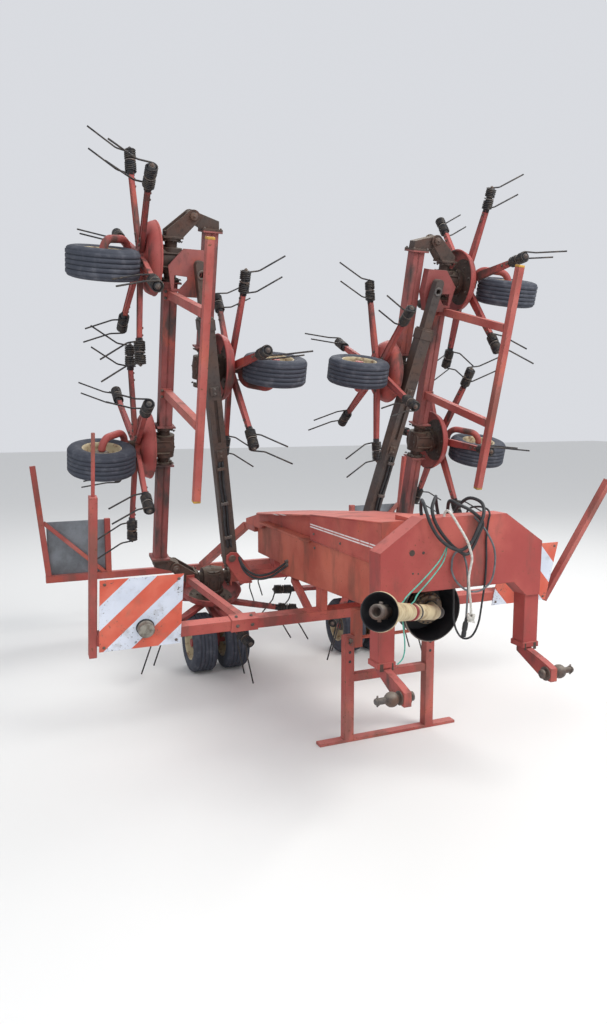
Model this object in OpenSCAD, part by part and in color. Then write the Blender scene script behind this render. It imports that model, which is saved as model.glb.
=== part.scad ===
/* [Frame] */
// Forward lean of the rotor frame as it parks, degrees
tilt = 14.5; // [10:0.5:18]
// Distance from the wheel line forward to the parking stand
stand_x = 1345; // [1300:5:1400]
// Distance between neighbouring rotor axes
rotor_pitch = 1070; // [1050:5:1100]
// Rotor line, measured along the leaning frame from the wheel line
rotor_u = -240; // [-260:5:-220]
// Side of the square beam
beam_w = 76; // [70:1:84]
// Groove down the front of the beam
groove_w = 12; // [6:1:18]
// Wing hinge outboard of the centre rotor axis
wing_hinge_out = 255; // [250:1:265]
// Wing hinge above the beam axis
wing_hinge_up = 100; // [95:1:110]
// Outer hinge outboard of the third rotor axis
outer_hinge_out = 237; // [230:1:245]
// Outer hinge above the beam axis
outer_hinge_up = 110; // [106:1:120]
// How far the wings stand up, degrees
wing_fold = 90; // [85:1:90]
// How far the outer sections are folded back over the wings, degrees
outer_fold = 180; // [176:1:180]

/* [Rotors] */
// Turn of the rotors as parked, degrees
rotor_phase = 51; // [0:1:59]
// Radius of the gear housing
gear_r = 82; // [76:1:88]
// Half the length of the gear housing along the beam
gear_half = 115; // [110:1:125]
// Radius of the rotor dish
dish_r = 200; // [190:1:210]
// Radius of the fixed column under each gear housing
column_r = 30; // [26:1:34]
// Length of a tine arm from the rotor axis
arm_len = 455; // [440:1:470]
// Width of a tine arm at its root
arm_w = 46; // [40:1:52]
// Thickness of a tine arm
arm_t = 26; // [20:1:30]
// Outer radius of a tine coil
coil_r = 32.5; // [28:0.5:36]
// Length of the coil pair
coil_len = 130; // [120:1:140]
// Diameter of the tine wire
tine_d = 9.5; // [8:0.5:11]
// Height of the tine tips under the beam axis
tine_drop = 415; // [380:1:420]

/* [Wheels] */
// Radius of a tyre
tyre_r = 190; // [180:1:195]
// Width of a tyre
tyre_w = 160; // [140:1:165]
// Radius of the rim
rim_r = 104; // [95:1:108]
// Wheel axle ahead of the rotor axis
wheel_lead = 165; // [150:1:175]
// Wheel axle under the beam axis
wheel_drop = 392; // [385:1:400]
// Distance between twin wheels
twin_pitch = 216; // [210:1:230]
// Radius of the wheel axle
axle_r = 15; // [12:0.5:18]

/* [Headstock] */
// Distance between the two lower link balls
link_span = 868; // [820:1:900]
// Radius of the lower link pins, category 2
link_pin_r = 14; // [13.9:0.05:14.3]
// Free length of each lower link pin outboard of its ball
link_pin_len = 45; // [40:1:60]
// Height of the lower link pins above the ground
link_pin_z = 531; // [500:1:560]
// Swivel axis of the headstock, forward of the wheel line
swivel_x = 1800; // [1790:1:1820]
// Depth of the arched yoke
yoke_d = 95; // [85:1:100]
// Side of the square legs under the yoke
leg_w = 78; // [70:1:84]

/* [Stand] */
// Distance between the two posts of the stand
stand_span = 480; // [440:1:520]
// Length of the foot bar
stand_foot = 812; // [760:1:860]
// Side of the square tube in the stand
stand_w = 50; // [45:1:60]
// How far the stand lifts
stand_lift = 130; // [80:5:135]

/* [Hidden] */

red = "indianred";
bright = "tomato";
dark = "dimgray";
grime = "#4c4238";
rubber = "#2a2d33";
cream = "wheat";

fit = 0.3;
slack = 5;
fn_round = 48;

// Beam axis above the frame origin, so that the centre wheels stand on the ground
beam_h = wheel_drop + (tyre_r + (rotor_u + wheel_lead) * sin(tilt)) / cos(tilt);
wing_hinge = [0.5 * rotor_pitch + wing_hinge_out, beam_h + wing_hinge_up];
outer_hinge = [2.5 * rotor_pitch + outer_hinge_out, beam_h + outer_hinge_up];
hub_bore_gap = 0.5;
lug_t = 12;
lug_r = 36;
hinge_pin_r = 16;
tongue_t = beam_w - 10;
tongue_reach = 66;

LEFT = 1;
RIGHT = -1;
// A point of the leaning frame, given upright as [x, z]
function lean(u, w) = [u * cos(tilt) + w * sin(tilt), -u * sin(tilt) + w * cos(tilt)];

// Frame changes: X forward, Y to the left, Z up, with the origin under the stand
module machine() translate([-stand_x, 0, 0]) children();
module on_side(k) {
  if (k == RIGHT) mirror([0, 1, 0]) children();
  else children();
}
module turned(p, a) translate([0, p[0], p[1]]) rotate([a, 0, 0]) translate([0, -p[0], -p[1]]) children();
module wing_place(k) machine() on_side(k) rotate([0, tilt, 0]) turned(wing_hinge, wing_fold) children();
module outer_place(k) wing_place(k) turned(outer_hinge, outer_fold) children();
module centre_place(k) machine() on_side(k) rotate([0, tilt, 0]) children();
module section_place(k, i) {
  if (i == 1) centre_place(k) children();
  else if (i == 4) outer_place(k) children();
  else wing_place(k) children();
}
// Rotor i counted outwards from the middle
function rotor_s(i) = (i - 0.5) * rotor_pitch;
module at_rotor(i) translate([rotor_u, rotor_s(i), beam_h]) children();

// A round bar between two points
module rod(p, q, r, fn = 16) {
  d = q - p;
  l = norm(d);
  translate(p) rotate([0, acos(d[2] / l), atan2(d[1], d[0])]) cylinder(h = l, r = r, $fn = fn);
}
// A square bar between two points in the XZ plane, or in any plane through Y
module bar(p, q, w, t) {
  d = q - p;
  l = norm(d);
  translate(p) rotate([0, acos(d[2] / l), atan2(d[1], d[0])]) translate([-w / 2, -t / 2, 0]) cube([w, t, l]);
}
// A plate in the leaning YZ plane, from a list of [y, z] points, between two X values
module plate_yz(x0, x1, pts) translate([x0, 0, 0]) rotate([90, 0, 90]) linear_extrude(x1 - x0) polygon(pts);
// A plate in the XZ plane, from a list of [x, z] points, between two Y values
module plate_xz(y0, y1, pts) translate([0, y1, 0]) rotate([90, 0, 0]) linear_extrude(y1 - y0) polygon(pts);

// Beam along Y with a groove down its front
module beam(y0, y1) {
  g = groove_w / 2;
  h = beam_w / 2;
  translate([rotor_u, y1, beam_h]) rotate([90, 0, 0]) linear_extrude(y1 - y0)
    polygon([[-h, -h], [h, -h], [h, -g], [h - g, 0], [h, g], [h, h], [-h, h]]);
}
flange_w = 112;
flange_t = 10;
module flange(y0) translate([rotor_u - flange_w / 2, y0, beam_h - flange_w / 2]) cube([flange_w, flange_t, flange_w]);
// Beam between two gear housings or a housing and a hinge, with its flanges
module beam_run(y0, y1, flange_in, flange_out) {
  beam(y0, y1);
  if (flange_in) flange(y0);
  if (flange_out) flange(y1 - flange_t);
}

// Hinge casting on the neck of gear housing i: two lugs that carry the pin
module hinge_lugs(i, hinge) {
  h = beam_w / 2;
  y0 = rotor_s(i) + gear_half;
  translate([rotor_u - flange_w / 2, y0 - 1, beam_h - flange_w / 2]) cube([flange_w, flange_t + 1, flange_w]);
  plate_yz(rotor_u - h, rotor_u + h, [[y0, beam_h - h], [y0 + 34, beam_h - h], [y0 + 44, beam_h + 20], [y0, beam_h + 44]]);
  for (x = [h - 1, -h - lug_t + 1]) {
    plate_yz(rotor_u + x, rotor_u + x + lug_t, [
      [y0, beam_h - h], [y0 + 40, beam_h - h], [hinge[0] + lug_r * 0.8, hinge[1] - lug_r * 0.6],
      [hinge[0] + lug_r * 0.5, hinge[1] + lug_r * 0.8], [hinge[0] - lug_r * 0.7, hinge[1] + lug_r * 0.7],
      [y0, beam_h + 48]]);
    translate([rotor_u + x, hinge[0], hinge[1]]) rotate([0, 90, 0]) cylinder(h = lug_t, r = lug_r, $fn = fn_round);
  }
  translate([rotor_u - h - lug_t - 8, hinge[0], hinge[1]]) rotate([0, 90, 0])
    cylinder(h = beam_w + 2 * lug_t + 16, r = hinge_pin_r, $fn = fn_round);
}
// Hinge casting at the inner end of a folding beam: a tongue bored for the pin, with a square flange
module hinge_tongue(hinge) {
  h = beam_w / 2;
  difference() {
    union() {
      plate_yz(rotor_u - tongue_t / 2, rotor_u + tongue_t / 2, [
        [hinge[0] + 12, beam_h - h], [hinge[0] + tongue_reach, beam_h - h - 4], [hinge[0] + tongue_reach, beam_h + h + 4],
        [hinge[0] + 30, hinge[1] + 10], [hinge[0] - 14, hinge[1] + 28], [hinge[0] - 26, hinge[1] - 14]]);
      translate([rotor_u - tongue_t / 2, hinge[0], hinge[1]]) rotate([0, 90, 0])
        cylinder(h = tongue_t, r = lug_r - 4, $fn = fn_round);
      flange(hinge[0] + tongue_reach - flange_t);
    }
    translate([rotor_u - tongue_t, hinge[0], hinge[1]]) rotate([0, 90, 0])
      cylinder(h = 2 * tongue_t, r = hinge_pin_r + fit, $fn = fn_round);
  }
}

// Gear housing at rotor i, with its fixed column and flanged necks
column_end = -215.7;
module gear_housing(i) at_rotor(i) {
  neck = gear_half;
  rotate([90, 0, 0]) translate([0, 0, -neck]) cylinder(h = 2 * neck, r = 34, $fn = fn_round);
  for (e = [-1, 1]) rotate([90, 0, 0]) translate([0, 0, e * (neck - 7) - 7]) cylinder(h = 14, r = 54, $fn = fn_round);
  rotate([90, 0, 0]) translate([0, 0, -66]) cylinder(h = 132, r = 62, $fn = fn_round);
  translate([0, 0, -104]) cylinder(h = 24, r = gear_r, $fn = fn_round);
  translate([0, 0, -82]) cylinder(h = 124, r = gear_r - 14, $fn = fn_round);
  translate([0, 0, 40]) cylinder(h = 12, r = gear_r - 24, $fn = fn_round);
  translate([0, 0, column_end]) cylinder(h = -column_end - 90, r = column_r, $fn = fn_round);
}

// Rotor i: dish, hub and six arms. The angle is measured from forward to outboard
function phase(k, i) = (k == RIGHT ? 0 : 30) + (i % 2 == 1 ? rotor_phase : 30 - rotor_phase);
arm_droop = 3.5;
arm_z = -152;
module dish() rotate_extrude($fn = 96) polygon([
  [column_r + hub_bore_gap, arm_z - 26], [58, arm_z - 26], [62, arm_z], [148, arm_z],
  [dish_r - 16, arm_z + 20], [dish_r, arm_z + 62], [dish_r - 6, arm_z + 64], [dish_r - 22, arm_z + 26],
  [144, arm_z + 8], [62, arm_z + 8], [58, -112], [column_r + hub_bore_gap, -112]]);
module tine_arm() translate([0, 0, arm_z]) rotate([0, arm_droop, 0]) {
  translate([0, 0, -arm_t - 2]) linear_extrude(arm_t) polygon([
    [56, -arm_w / 2], [dish_r, -arm_w / 2], [arm_len, -arm_w / 2 + 7], [arm_len, arm_w / 2 - 7],
    [dish_r, arm_w / 2], [56, arm_w / 2]]);
}
module rotor_shape(k, i) at_rotor(i) rotate([0, 0, phase(k, i)]) {
  dish();
  for (a = [0:60:300]) rotate([0, 0, a]) {
    tine_arm();
    tine_pair();
  }
}
// Where the coils sit, measured on the arm
coil_z = arm_z - arm_t / 2 - 2 - arm_len * sin(arm_droop);
module tine_pair() {
  // Holder that the two coils are threaded on
  translate([arm_len - 14, 0, coil_z]) rotate([0, 90, 0]) cylinder(h = coil_len + 12, r = 20, $fn = 24);
  for (e = [0, 1]) {
    x0 = arm_len + e * (coil_len / 2 + 4);
    x_wire = e == 0 ? x0 + tine_d / 2 + 1 : x0 + coil_len / 2 - 4 - tine_d / 2 - 1;
    translate([x0, 0, coil_z]) rotate([0, 90, 0]) difference() {
      cylinder(h = coil_len / 2 - 4, r = coil_r, $fn = 32);
      translate([0, 0, -1]) cylinder(h = coil_len, r = 19.5, $fn = 32);
    }
    knee = [x_wire + 12, coil_r - tine_d / 2 - 4, coil_z - 70];
    rod([x_wire, coil_r - tine_d / 2, coil_z], knee, tine_d / 2, 12);
    translate(knee) sphere(r = tine_d / 2, $fn = 16);
    rod(knee, [x_wire + 105, coil_r - 16, -tine_drop + 2], tine_d / 2, 12);
  }
}

// Wheel about its axle along Y, with a plain tyre section
module wheel_shape() rotate([90, 0, 0]) rotate_extrude($fn = 96) {
  h = tyre_w / 2;
  polygon([[axle_r + 1, -48], [38, -48], [38, -5], [rim_r - 16, -5], [rim_r - 12, -h + 18], [rim_r, -h + 14],
    [rim_r + 8, -h + 14], [150, -h], [tyre_r - 14, -h + 8], [tyre_r, -h + 34], [tyre_r, h - 34],
    [tyre_r - 14, h - 8], [150, h], [rim_r + 8, h - 14], [rim_r, h - 14], [rim_r - 12, h - 18],
    [rim_r - 16, 5], [38, 5], [38, 48], [axle_r + 1, 48]]);
}
wheel_in = -30;
module wheels_shape(i) at_rotor(i) translate([wheel_lead, 0, -wheel_drop]) {
  if (i == 1) for (e = [-1, 1]) translate([0, e * twin_pitch / 2, 0]) wheel_shape();
  else translate([0, wheel_in, 0]) wheel_shape();
}
leg_tube_r = 21;
bend_r = 65;
leg_at = [10, -237.5];
// Twin axle under a straight strap, for the centre rotors
module twin_leg() at_rotor(1) {
  translate([-40, -21, column_end - fit - 34]) cube([wheel_lead + 75, 42, 34]);
  translate([wheel_lead - 32, -19, -wheel_drop - 30]) cube([64, 38, wheel_drop + column_end + 4]);
  translate([wheel_lead, 0, -wheel_drop]) rotate([90, 0, 0])
    translate([0, 0, -twin_pitch / 2 - 56]) cylinder(h = twin_pitch + 112, r = axle_r, $fn = fn_round);
  for (e = [-1, 1]) translate([wheel_lead, e * (twin_pitch / 2 + 54), -wheel_drop]) rotate([90, 0, 0])
    translate([0, 0, -4]) cylinder(h = 8, r = 26, $fn = fn_round);
}
// Cranked leg of a wing wheel: a tube that bows over its outboard side into the hub
module crank_leg(i) at_rotor(i) {
  s_out = wheel_in + 54 + bend_r;
  run = norm([wheel_lead - leg_at[0], wheel_drop + leg_at[1]]);
  translate([-46, -32, column_end - fit - 34]) cube([70, 64, 34]);
  translate([leg_at[0], 0, leg_at[1]]) rotate([0, atan2(wheel_drop + leg_at[1], wheel_lead - leg_at[0]), 0]) {
    rotate([-90, 0, 0]) cylinder(h = s_out - bend_r, r = leg_tube_r, $fn = 24);
    translate([bend_r, s_out - bend_r, 0]) rotate([0, 0, 90])
      rotate_extrude(angle = 90, $fn = fn_round) translate([bend_r, 0]) circle(r = leg_tube_r, $fn = 24);
    translate([bend_r, s_out, 0]) rotate([0, 90, 0]) cylinder(h = run - 2 * bend_r, r = leg_tube_r, $fn = 24);
    translate([run - bend_r, s_out - bend_r, 0])
      rotate_extrude(angle = 90, $fn = fn_round) translate([bend_r, 0]) circle(r = leg_tube_r, $fn = 24);
    translate([run, wheel_in - 56, 0]) rotate([-90, 0, 0])
      cylinder(h = s_out - bend_r - wheel_in + 57, r = axle_r, $fn = fn_round);
    translate([run, wheel_in - 62, 0]) rotate([-90, 0, 0]) cylinder(h = 8, r = 26, $fn = fn_round);
  }
}

// Centre section
module centre_beam() color(red) centre_place(LEFT) {
  y_gear = rotor_s(1);
  beam_run(-y_gear + gear_half, y_gear - gear_half, true, true);
  for (k = [LEFT, RIGHT]) on_side(k) strut_foot();
  drawbar_saddle();
}
// Wedge between the leaning beam and the level drawbar
saddle_z = 700;
module drawbar_saddle() {
  h = beam_w / 2;
  front = lean(rotor_u + h, beam_h + h);
  back = lean(rotor_u - h, beam_h + h);
  rotate([0, -tilt, 0]) plate_xz(-110, 110, [back, front, [front[0], saddle_z], [back[0], saddle_z]]);
}
// Shelf and cheeks that carry the foot of a fold strut
strut_foot_y = 475;
strut_foot_up = 220;
strut_u0 = -125;
strut_w = 80;
strut_pin_r = 14;
module strut_foot() {
  z0 = beam_h + beam_w / 2;
  foot_z = beam_h + strut_foot_up;
  y1 = rotor_s(1) - gear_half - flange_t - 1;
  translate([rotor_u - beam_w / 2, y1 - 80, z0]) cube([strut_u0 + strut_w + 24 - rotor_u + beam_w / 2, 80, 10]);
  for (x = [strut_u0 - 16, strut_u0 + strut_w + 6]) plate_yz(x, x + 10, [
    [y1 - 80, z0], [y1, z0], [strut_foot_y + 38, foot_z - 30], [strut_foot_y + 38, foot_z + 20],
    [strut_foot_y + 10, foot_z + 42], [strut_foot_y - 30, foot_z + 36], [y1 - 70, z0 + 90]]);
  translate([strut_u0 - 20, strut_foot_y, foot_z]) rotate([0, 90, 0])
    cylinder(h = strut_w + 40, r = strut_pin_r, $fn = fn_round);
}
module centre_gearboxes() color(grime) centre_place(LEFT)
  for (k = [LEFT, RIGHT]) on_side(k) {
    gear_housing(1);
    hinge_lugs(1, wing_hinge);
  }
module centre_legs() color(red) centre_place(LEFT) for (k = [LEFT, RIGHT]) on_side(k) twin_leg();

// Drawbar, drawn upright over the ground
drawbar_w = 400;
cover_w = 412;
panel_z = 967;
module drawbar_cover() color(red) machine() {
  w = cover_w / 2;
  plate_xz(-w, w, [[cover_back, panel_z], [drawbar_front, panel_z], [drawbar_front, cover_top], [cover_back, 1115]]);
  plate_xz(-150, 150, [[cover_back, shelf_z + shelf_t + fit], [cover_back, 1108], [-210, 995], [-500, 925], [-500, 890],
    [-200, 890], [-62, shelf_z + shelf_t + fit]]);
  // Flat top of the rear part, narrowing at its end
  translate([cover_back + 20, 0, 1106]) rotate([0, -6.46, 0]) linear_extrude(9)
    polygon([[0, 2 - w], [0, w - 2], [-938, w - 2], [-1172, 110], [-1172, -110], [-938, 2 - w]]);
  // Top lug of the swivel
  difference() {
    union() {
      translate([drawbar_front - 100, -75, cover_top - 6]) cube([swivel_x - drawbar_front + 100, 150, 22]);
      translate([swivel_x, 0, cover_top - 6]) cylinder(h = 22, r = 75, $fn = fn_round);
    }
    translate([swivel_x, 0, 1100]) cylinder(h = 200, r = swivel_pin_r + fit, $fn = fn_round);
  }
}
drawbar_front = 1620;
cover_back = 785;
cover_top = 1182;
box_back = 300;
box_bend = 1460;
shelf_z = 950;
shelf_t = 11;
swivel_pin_r = 20;
function drawbar_bottom(x) = 680 + (x - box_back) * 60 / (box_bend - box_back);
module drawbar_box() color(red) machine() {
  difference() {
    plate_xz(-drawbar_w / 2, drawbar_w / 2, [[box_back, drawbar_bottom(box_back)], [box_bend, drawbar_bottom(box_bend)],
      [drawbar_front, 800], [drawbar_front, panel_z - fit], [cover_back, panel_z - fit], [cover_back, shelf_z],
      [box_back, shelf_z]]);
    for (e = [-1, 1]) translate([box_back - 10, e * 135 - 57, 710]) cube([260, 114, 230]);
  }
  plate_xz(-120, 120, [[-330, saddle_z + fit], [box_back + 10, saddle_z + fit], [box_back + 10, shelf_z], [-64, shelf_z],
    [-198, 890 - fit], [-330, 890 - fit]]);
  translate([-60, -215, shelf_z]) cube([cover_back + 60, 430, shelf_t]);
  // Bearing tube of the input shaft
  translate([1400, 0, pto_z]) rotate([0, 90, 0]) cylinder(h = drawbar_front - 1400, r = 62, $fn = fn_round);
  // Lower lug and pin of the swivel
  translate([drawbar_front - 20, -75, 946]) cube([swivel_x - drawbar_front + 20, 150, 20]);
  translate([swivel_x, 0, 946]) cylinder(h = 20, r = 75, $fn = fn_round);
  translate([swivel_x, 0, 946]) cylinder(h = 265, r = swivel_pin_r, $fn = fn_round);
  stand_receiver();
}
// Inverted frame under the drawbar that the stand is pinned to
module stand_receiver() {
  y1 = stand_span / 2 - stand_w / 2 - 0.5;
  translate([stand_x - 24, -y1, 655]) cube([48, 2 * y1, 45]);
  translate([stand_x - 24, -120, 690]) cube([48, 240, drawbar_bottom(stand_x) - 690 + 8]);
  for (e = [-1, 1]) translate([stand_x - 24, e > 0 ? y1 - 46 : -y1, 500]) cube([48, 46, 170]);
  translate([stand_x, -y1 + 10, 545]) rotate([-90, 0, 0]) cylinder(h = 2 * y1 - 20, r = 9, $fn = 24);
}

// Front guard tube, its braces and the boards on it, leaning with the frame
guard_u = 703;
guard_w = 755;
board_w = 420;
board_h = 405;
board_y = 1208;
board_z = 722;
guard_len = 2853.4;
guard_at = lean(guard_u, guard_w);
sleeve_w = 72;
module front_guard() color(red) {
  foot_u = rotor_u + beam_w / 2 + lug_t - 1 + fit;
  foot_y = rotor_s(1) + gear_half + 20;
  centre_place(LEFT) {
    translate([guard_u - 30, -guard_len / 2, guard_w - 30]) cube([60, guard_len, 60]);
    for (k = [LEFT, RIGHT]) on_side(k) {
      bar([guard_u - 10, foot_y - 30, guard_w + 10], [foot_u + 8, foot_y + 26, beam_h + 14], 40, 40);
      translate([foot_u, foot_y, beam_h - 36]) cube([10, 52, 84]);
      translate([guard_u - sleeve_w / 2, 565, guard_w - sleeve_w / 2]) cube([sleeve_w, 155, sleeve_w]);
    }
  }
  machine() for (k = [LEFT, RIGHT]) on_side(k) {
    x = guard_at[0];
    plate_xz(150, 190, [[x - 35, guard_at[1]], [x + 35, guard_at[1]], [x + 35, drawbar_bottom(x + 35) - fit],
      [x - 35, drawbar_bottom(x - 35) - fit]]);
    bar([x - 10, 235, guard_at[1] + 5], [box_back + 155, 170, drawbar_bottom(box_back + 155) - 19], 36, 36);
  }
}
module front_boards() color(bright) centre_place(LEFT)
  for (k = [LEFT, RIGHT]) on_side(k)
    translate([guard_u + 30.3, board_y - board_w / 2, board_z - 30]) cube([4, board_w, board_h]);
module front_posts() color(bright) centre_place(LEFT) {
  y = guard_len / 2 + fit;
  translate([guard_u - 20, -y - 38, guard_w - 100]) cube([44, 38, 870]);
  translate([guard_u, -y - 19, guard_w + 760]) cylinder(h = 320, r = 9, $fn = 24);
  translate([guard_u, y + 1.2, guard_w - 80]) rotate([-21, 0, 0]) {
    translate([-20, -19, 0]) cube([44, 38, 870]);
    translate([0, 0, 860]) cylinder(h = 320, r = 9, $fn = 24);
  }
}
module lamps() color(dark) centre_place(LEFT)
  for (k = [LEFT, RIGHT]) on_side(k)
    translate([guard_u + 34.6, board_y - 20, board_z + 90]) rotate([0, 90, 0]) cylinder(h = 40, r = 42, $fn = fn_round);

// Rear frames that carry boards behind the centre rotors
rear_x = -1150;
rear_len = 3000;
module rear_frame() color(bright) machine() {
  translate([rear_x - 25, -rear_len / 2, 430]) cube([50, rear_len, 50]);
  for (k = [LEFT, RIGHT]) on_side(k) {
    bar([rear_x, 300, 470], [-540, 130, 870], 50, 50);
    translate([-560, 100, 849]) cube([229.7, 45, 41 - fit]);
    bar([rear_x, rear_len / 2 - 25, 440], [rear_x, rear_len / 2 + 60, 1300], 40, 40);
    bar([rear_x, 1040, 450], [rear_x, 1040, 890], 40, 40);
    bar([rear_x - 2, 1060, 470], [rear_x - 2, 1500, 880], 30, 30);
  }
}
module rear_boards() color("silver") machine()
  for (k = [LEFT, RIGHT]) on_side(k) translate([rear_x - 29.3, 1050, 420]) cube([4, 430, 460]);

// Shaft guard and slip clutch under the front of the drawbar
pto_z = 770;
joint_r = 30;
module pto_guard() color(dark) machine() translate([drawbar_front + fit, 0, pto_z]) rotate([0, 90, 0]) difference() {
  cylinder(h = 134, r1 = 130, r2 = 152, $fn = 96);
  translate([0, 0, 5]) cylinder(h = 134, r1 = 126, r2 = 148, $fn = 96);
}
module pto_clutch() color(cream) machine() translate([drawbar_front + 5 + 2 * fit, 0, pto_z]) rotate([0, 90, 0]) {
  cylinder(h = 32, r = 40, $fn = fn_round);
  translate([0, 0, 30]) cylinder(h = 60, r = 78, $fn = fn_round);
  translate([0, 0, 88]) cylinder(h = 12, r = 66, $fn = fn_round);
  for (a = [0:45:315]) rotate([0, 0, a]) translate([56, 0, 88]) cylinder(h = 18, r = 7, $fn = 24);
  translate([0, 0, 98]) cylinder(h = swivel_x - drawbar_front - 5 - 98 - joint_r - 3 * fit, r = 30, $fn = fn_round);
}

// Headstock: an arched yoke on a vertical swivel
yoke_x = 1905;
hose_z = 1175;
hose_x = 1893;
arch_out = [[418, 860], [422, 1111], [217, 1249]];
arch_in = [[270, 930], [344, 860]];
module yoke() color(red) machine() {
  pts = concat([for (p = arch_out) p], [for (i = [2:-1:0]) [-arch_out[i][0], arch_out[i][1]]],
    [for (i = [1:-1:0]) [-arch_in[i][0], arch_in[i][1]]], arch_in);
  plate_yz(yoke_x, yoke_x + yoke_d, pts);
  for (k = [LEFT, RIGHT]) on_side(k)
{
    translate([yoke_x + 9, 342, 610]) cube([leg_w, leg_w, 260]);
    translate([yoke_x + 4, 337, 612]) cube([leg_w + 10, leg_w + 10, 24]);
  }
  translate([hose_x - 11, -170, 1148]) cube([yoke_x - hose_x + 12, 250, hose_z - 1148]);
  difference() {
    union() {
      translate([swivel_x, 0, 970]) cylinder(h = 202, r = 50, $fn = fn_round);
      translate([swivel_x, -45, 990]) cube([yoke_x - swivel_x + 10, 90, 160]);
    }
    translate([swivel_x, 0, 900]) cylinder(h = 300, r = swivel_pin_r + fit, $fn = fn_round);
  }
}
module link_pins() color(dark) machine() for (k = [LEFT, RIGHT]) on_side(k) {
  px = 2132;
  py = link_span / 2;
  plate_xz(py - 75, py - 40, [[yoke_x + 20, 610 - fit], [yoke_x + 76, 610 - fit], [px - 30, link_pin_z + 50], [px + 34, link_pin_z + 30],
    [px + 34, link_pin_z - 30], [px - 34, link_pin_z - 26], [yoke_x + 20, 580]]);
  translate([px, py - 100, link_pin_z]) rotate([-90, 0, 0]) cylinder(h = 100 + 32 + link_pin_len, r = link_pin_r, $fn = fn_round);
  translate([px, py - 80, link_pin_z]) rotate([-90, 0, 0]) cylinder(h = 45, r = 32, $fn = fn_round);
  translate([px, py, link_pin_z]) sphere(r = 32, $fn = fn_round);
}
shaft_from = [swivel_x, 0, pto_z];
shaft_to = [2350, -580, 967];
shaft_dir = (shaft_to - shaft_from) / norm(shaft_to - shaft_from);
module pto_shaft() color(cream) machine() {
  translate(shaft_from) sphere(r = joint_r, $fn = fn_round);
  rod(shaft_from, shaft_from + shaft_dir * 90, 26, 48);
  rod(shaft_from + shaft_dir * 84, shaft_to, 35, 48);
}
module along_shaft(d) {
  p = shaft_from + shaft_dir * d;
  translate(p) rotate([0, acos(shaft_dir[2]), atan2(shaft_dir[1], shaft_dir[0])]) children();
}
module pto_end_guard() color(dark) machine() along_shaft(norm(shaft_to - shaft_from) + 0.3)
  difference() {
    cylinder(h = 110, r1 = 45, r2 = 72, $fn = 64);
    translate([0, 0, 6]) cylinder(h = 110, r1 = 40, r2 = 69, $fn = 64);
  }
module pto_end_yoke() color(dark) machine() along_shaft(norm(shaft_to - shaft_from) + 6.5)
  difference() {
    union() {
      cylinder(h = 60, r = 22, $fn = fn_round);
      translate([0, 0, 50]) cylinder(h = 90, r = 28, $fn = fn_round);
    }
    translate([0, 0, 70]) cylinder(h = 80, r = 17.5, $fn = fn_round);
  }

// Cords and hoses: a tube along its route, with a smooth turn at each point
function route_point(p, i) = p[min(max(i, 0), len(p) - 1)];
function route_at(p, i, t) = let (a = route_point(p, i - 1), b = route_point(p, i), c = route_point(p, i + 1), d = route_point(p, i + 2))
  0.5 * (2 * b + (c - a) * t + (2 * a - 5 * b + 4 * c - d) * t * t + (3 * b - a - 3 * c + d) * t * t * t);
function route(p, n) = [for (i = [0:len(p) - 2]) for (j = [0:n - 1]) route_at(p, i, j / n), p[len(p) - 1]];
function unit(v) = v / norm(v);
function ring(q, i, r, n) = let (t = unit(route_point(q, i + 1) - route_point(q, i - 1)), a = unit(cross(t, [1, 0.15, 0.1])), b = cross(t, a))
  [for (j = [0:n - 1]) q[i] + r * (cos(j * 360 / n) * a + sin(j * 360 / n) * b)];
module cord(p, r, n = 2, sides = 8) {
  q = route(p, n);
  m = len(q);
  polyhedron(points = [for (i = [0:m - 1]) each ring(q, i, r, sides)], faces = concat(
    [[for (j = [0:sides - 1]) j], [for (j = [sides - 1:-1:0]) (m - 1) * sides + j]],
    [for (i = [0:m - 2]) for (j = [0:sides - 1]) let (a = i * sides + j, b = i * sides + (j + 1) % sides) each
      [[a, a + sides, b], [b, a + sides, b + sides]]]));
}
hose_r = 7.5;
hose_routes = [
  [[hose_x, -62, hose_z + 1], [hose_x, -62, 1205], [1896, -80, 1268], [1925, -108, 1322], [1975, -142, 1334], [2006, -178, 1290],
    [2020, -169, 1233], [2026, -131, 1174], [2032, -77, 1119], [2034, -16, 1086], [2030, 21, 1119], [2026, 50, 1169],
    [2022, 72, 1219], [2014, 20, 1270], [1985, -34, 1300], [1938, -44, 1310], [1897, -26, 1264], [hose_x, -22, 1205], [hose_x, -22, hose_z + 1]],
  [[hose_x, -150, hose_z + 1], [hose_x, -150, 1205], [1896, -164, 1268], [1930, -184, 1318], [1990, -210, 1312], [2024, -212, 1268],
    [2036, -198, 1222], [2048, -167, 1170], [2054, -115, 1128], [2056, -60, 1112], [2056, -10, 1140], [2052, 26, 1196],
    [2044, 60, 1258], [2004, 76, 1304], [1942, 50, 1318], [1897, 20, 1266], [hose_x, 14, 1205], [hose_x, 14, hose_z + 1]]
];
loop_cable_r = 4.5;
loop_cable_route = [[hose_x, 62, hose_z + 1], [hose_x, 64, 1205], [1896, 88, 1262], [1930, 116, 1276], [1985, 122, 1270], [2009, 118, 1250],
  [2009, 112, 1220], [2006, 106, 1140], [2006, 110, 1050], [2006, 106, 950], [2007, 92, 850], [2002, 80, 760], [1980, 60, 696],
  [1938, 36, 684], [1898, 24, 740], [hose_x, 20, 860], [hose_x, 18, 989]];
module hoses() color(dark) machine() {
  for (p = hose_routes) cord(p, hose_r);
  cord(loop_cable_route, loop_cable_r);
}
plug_cable_r = 4.5;
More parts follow.
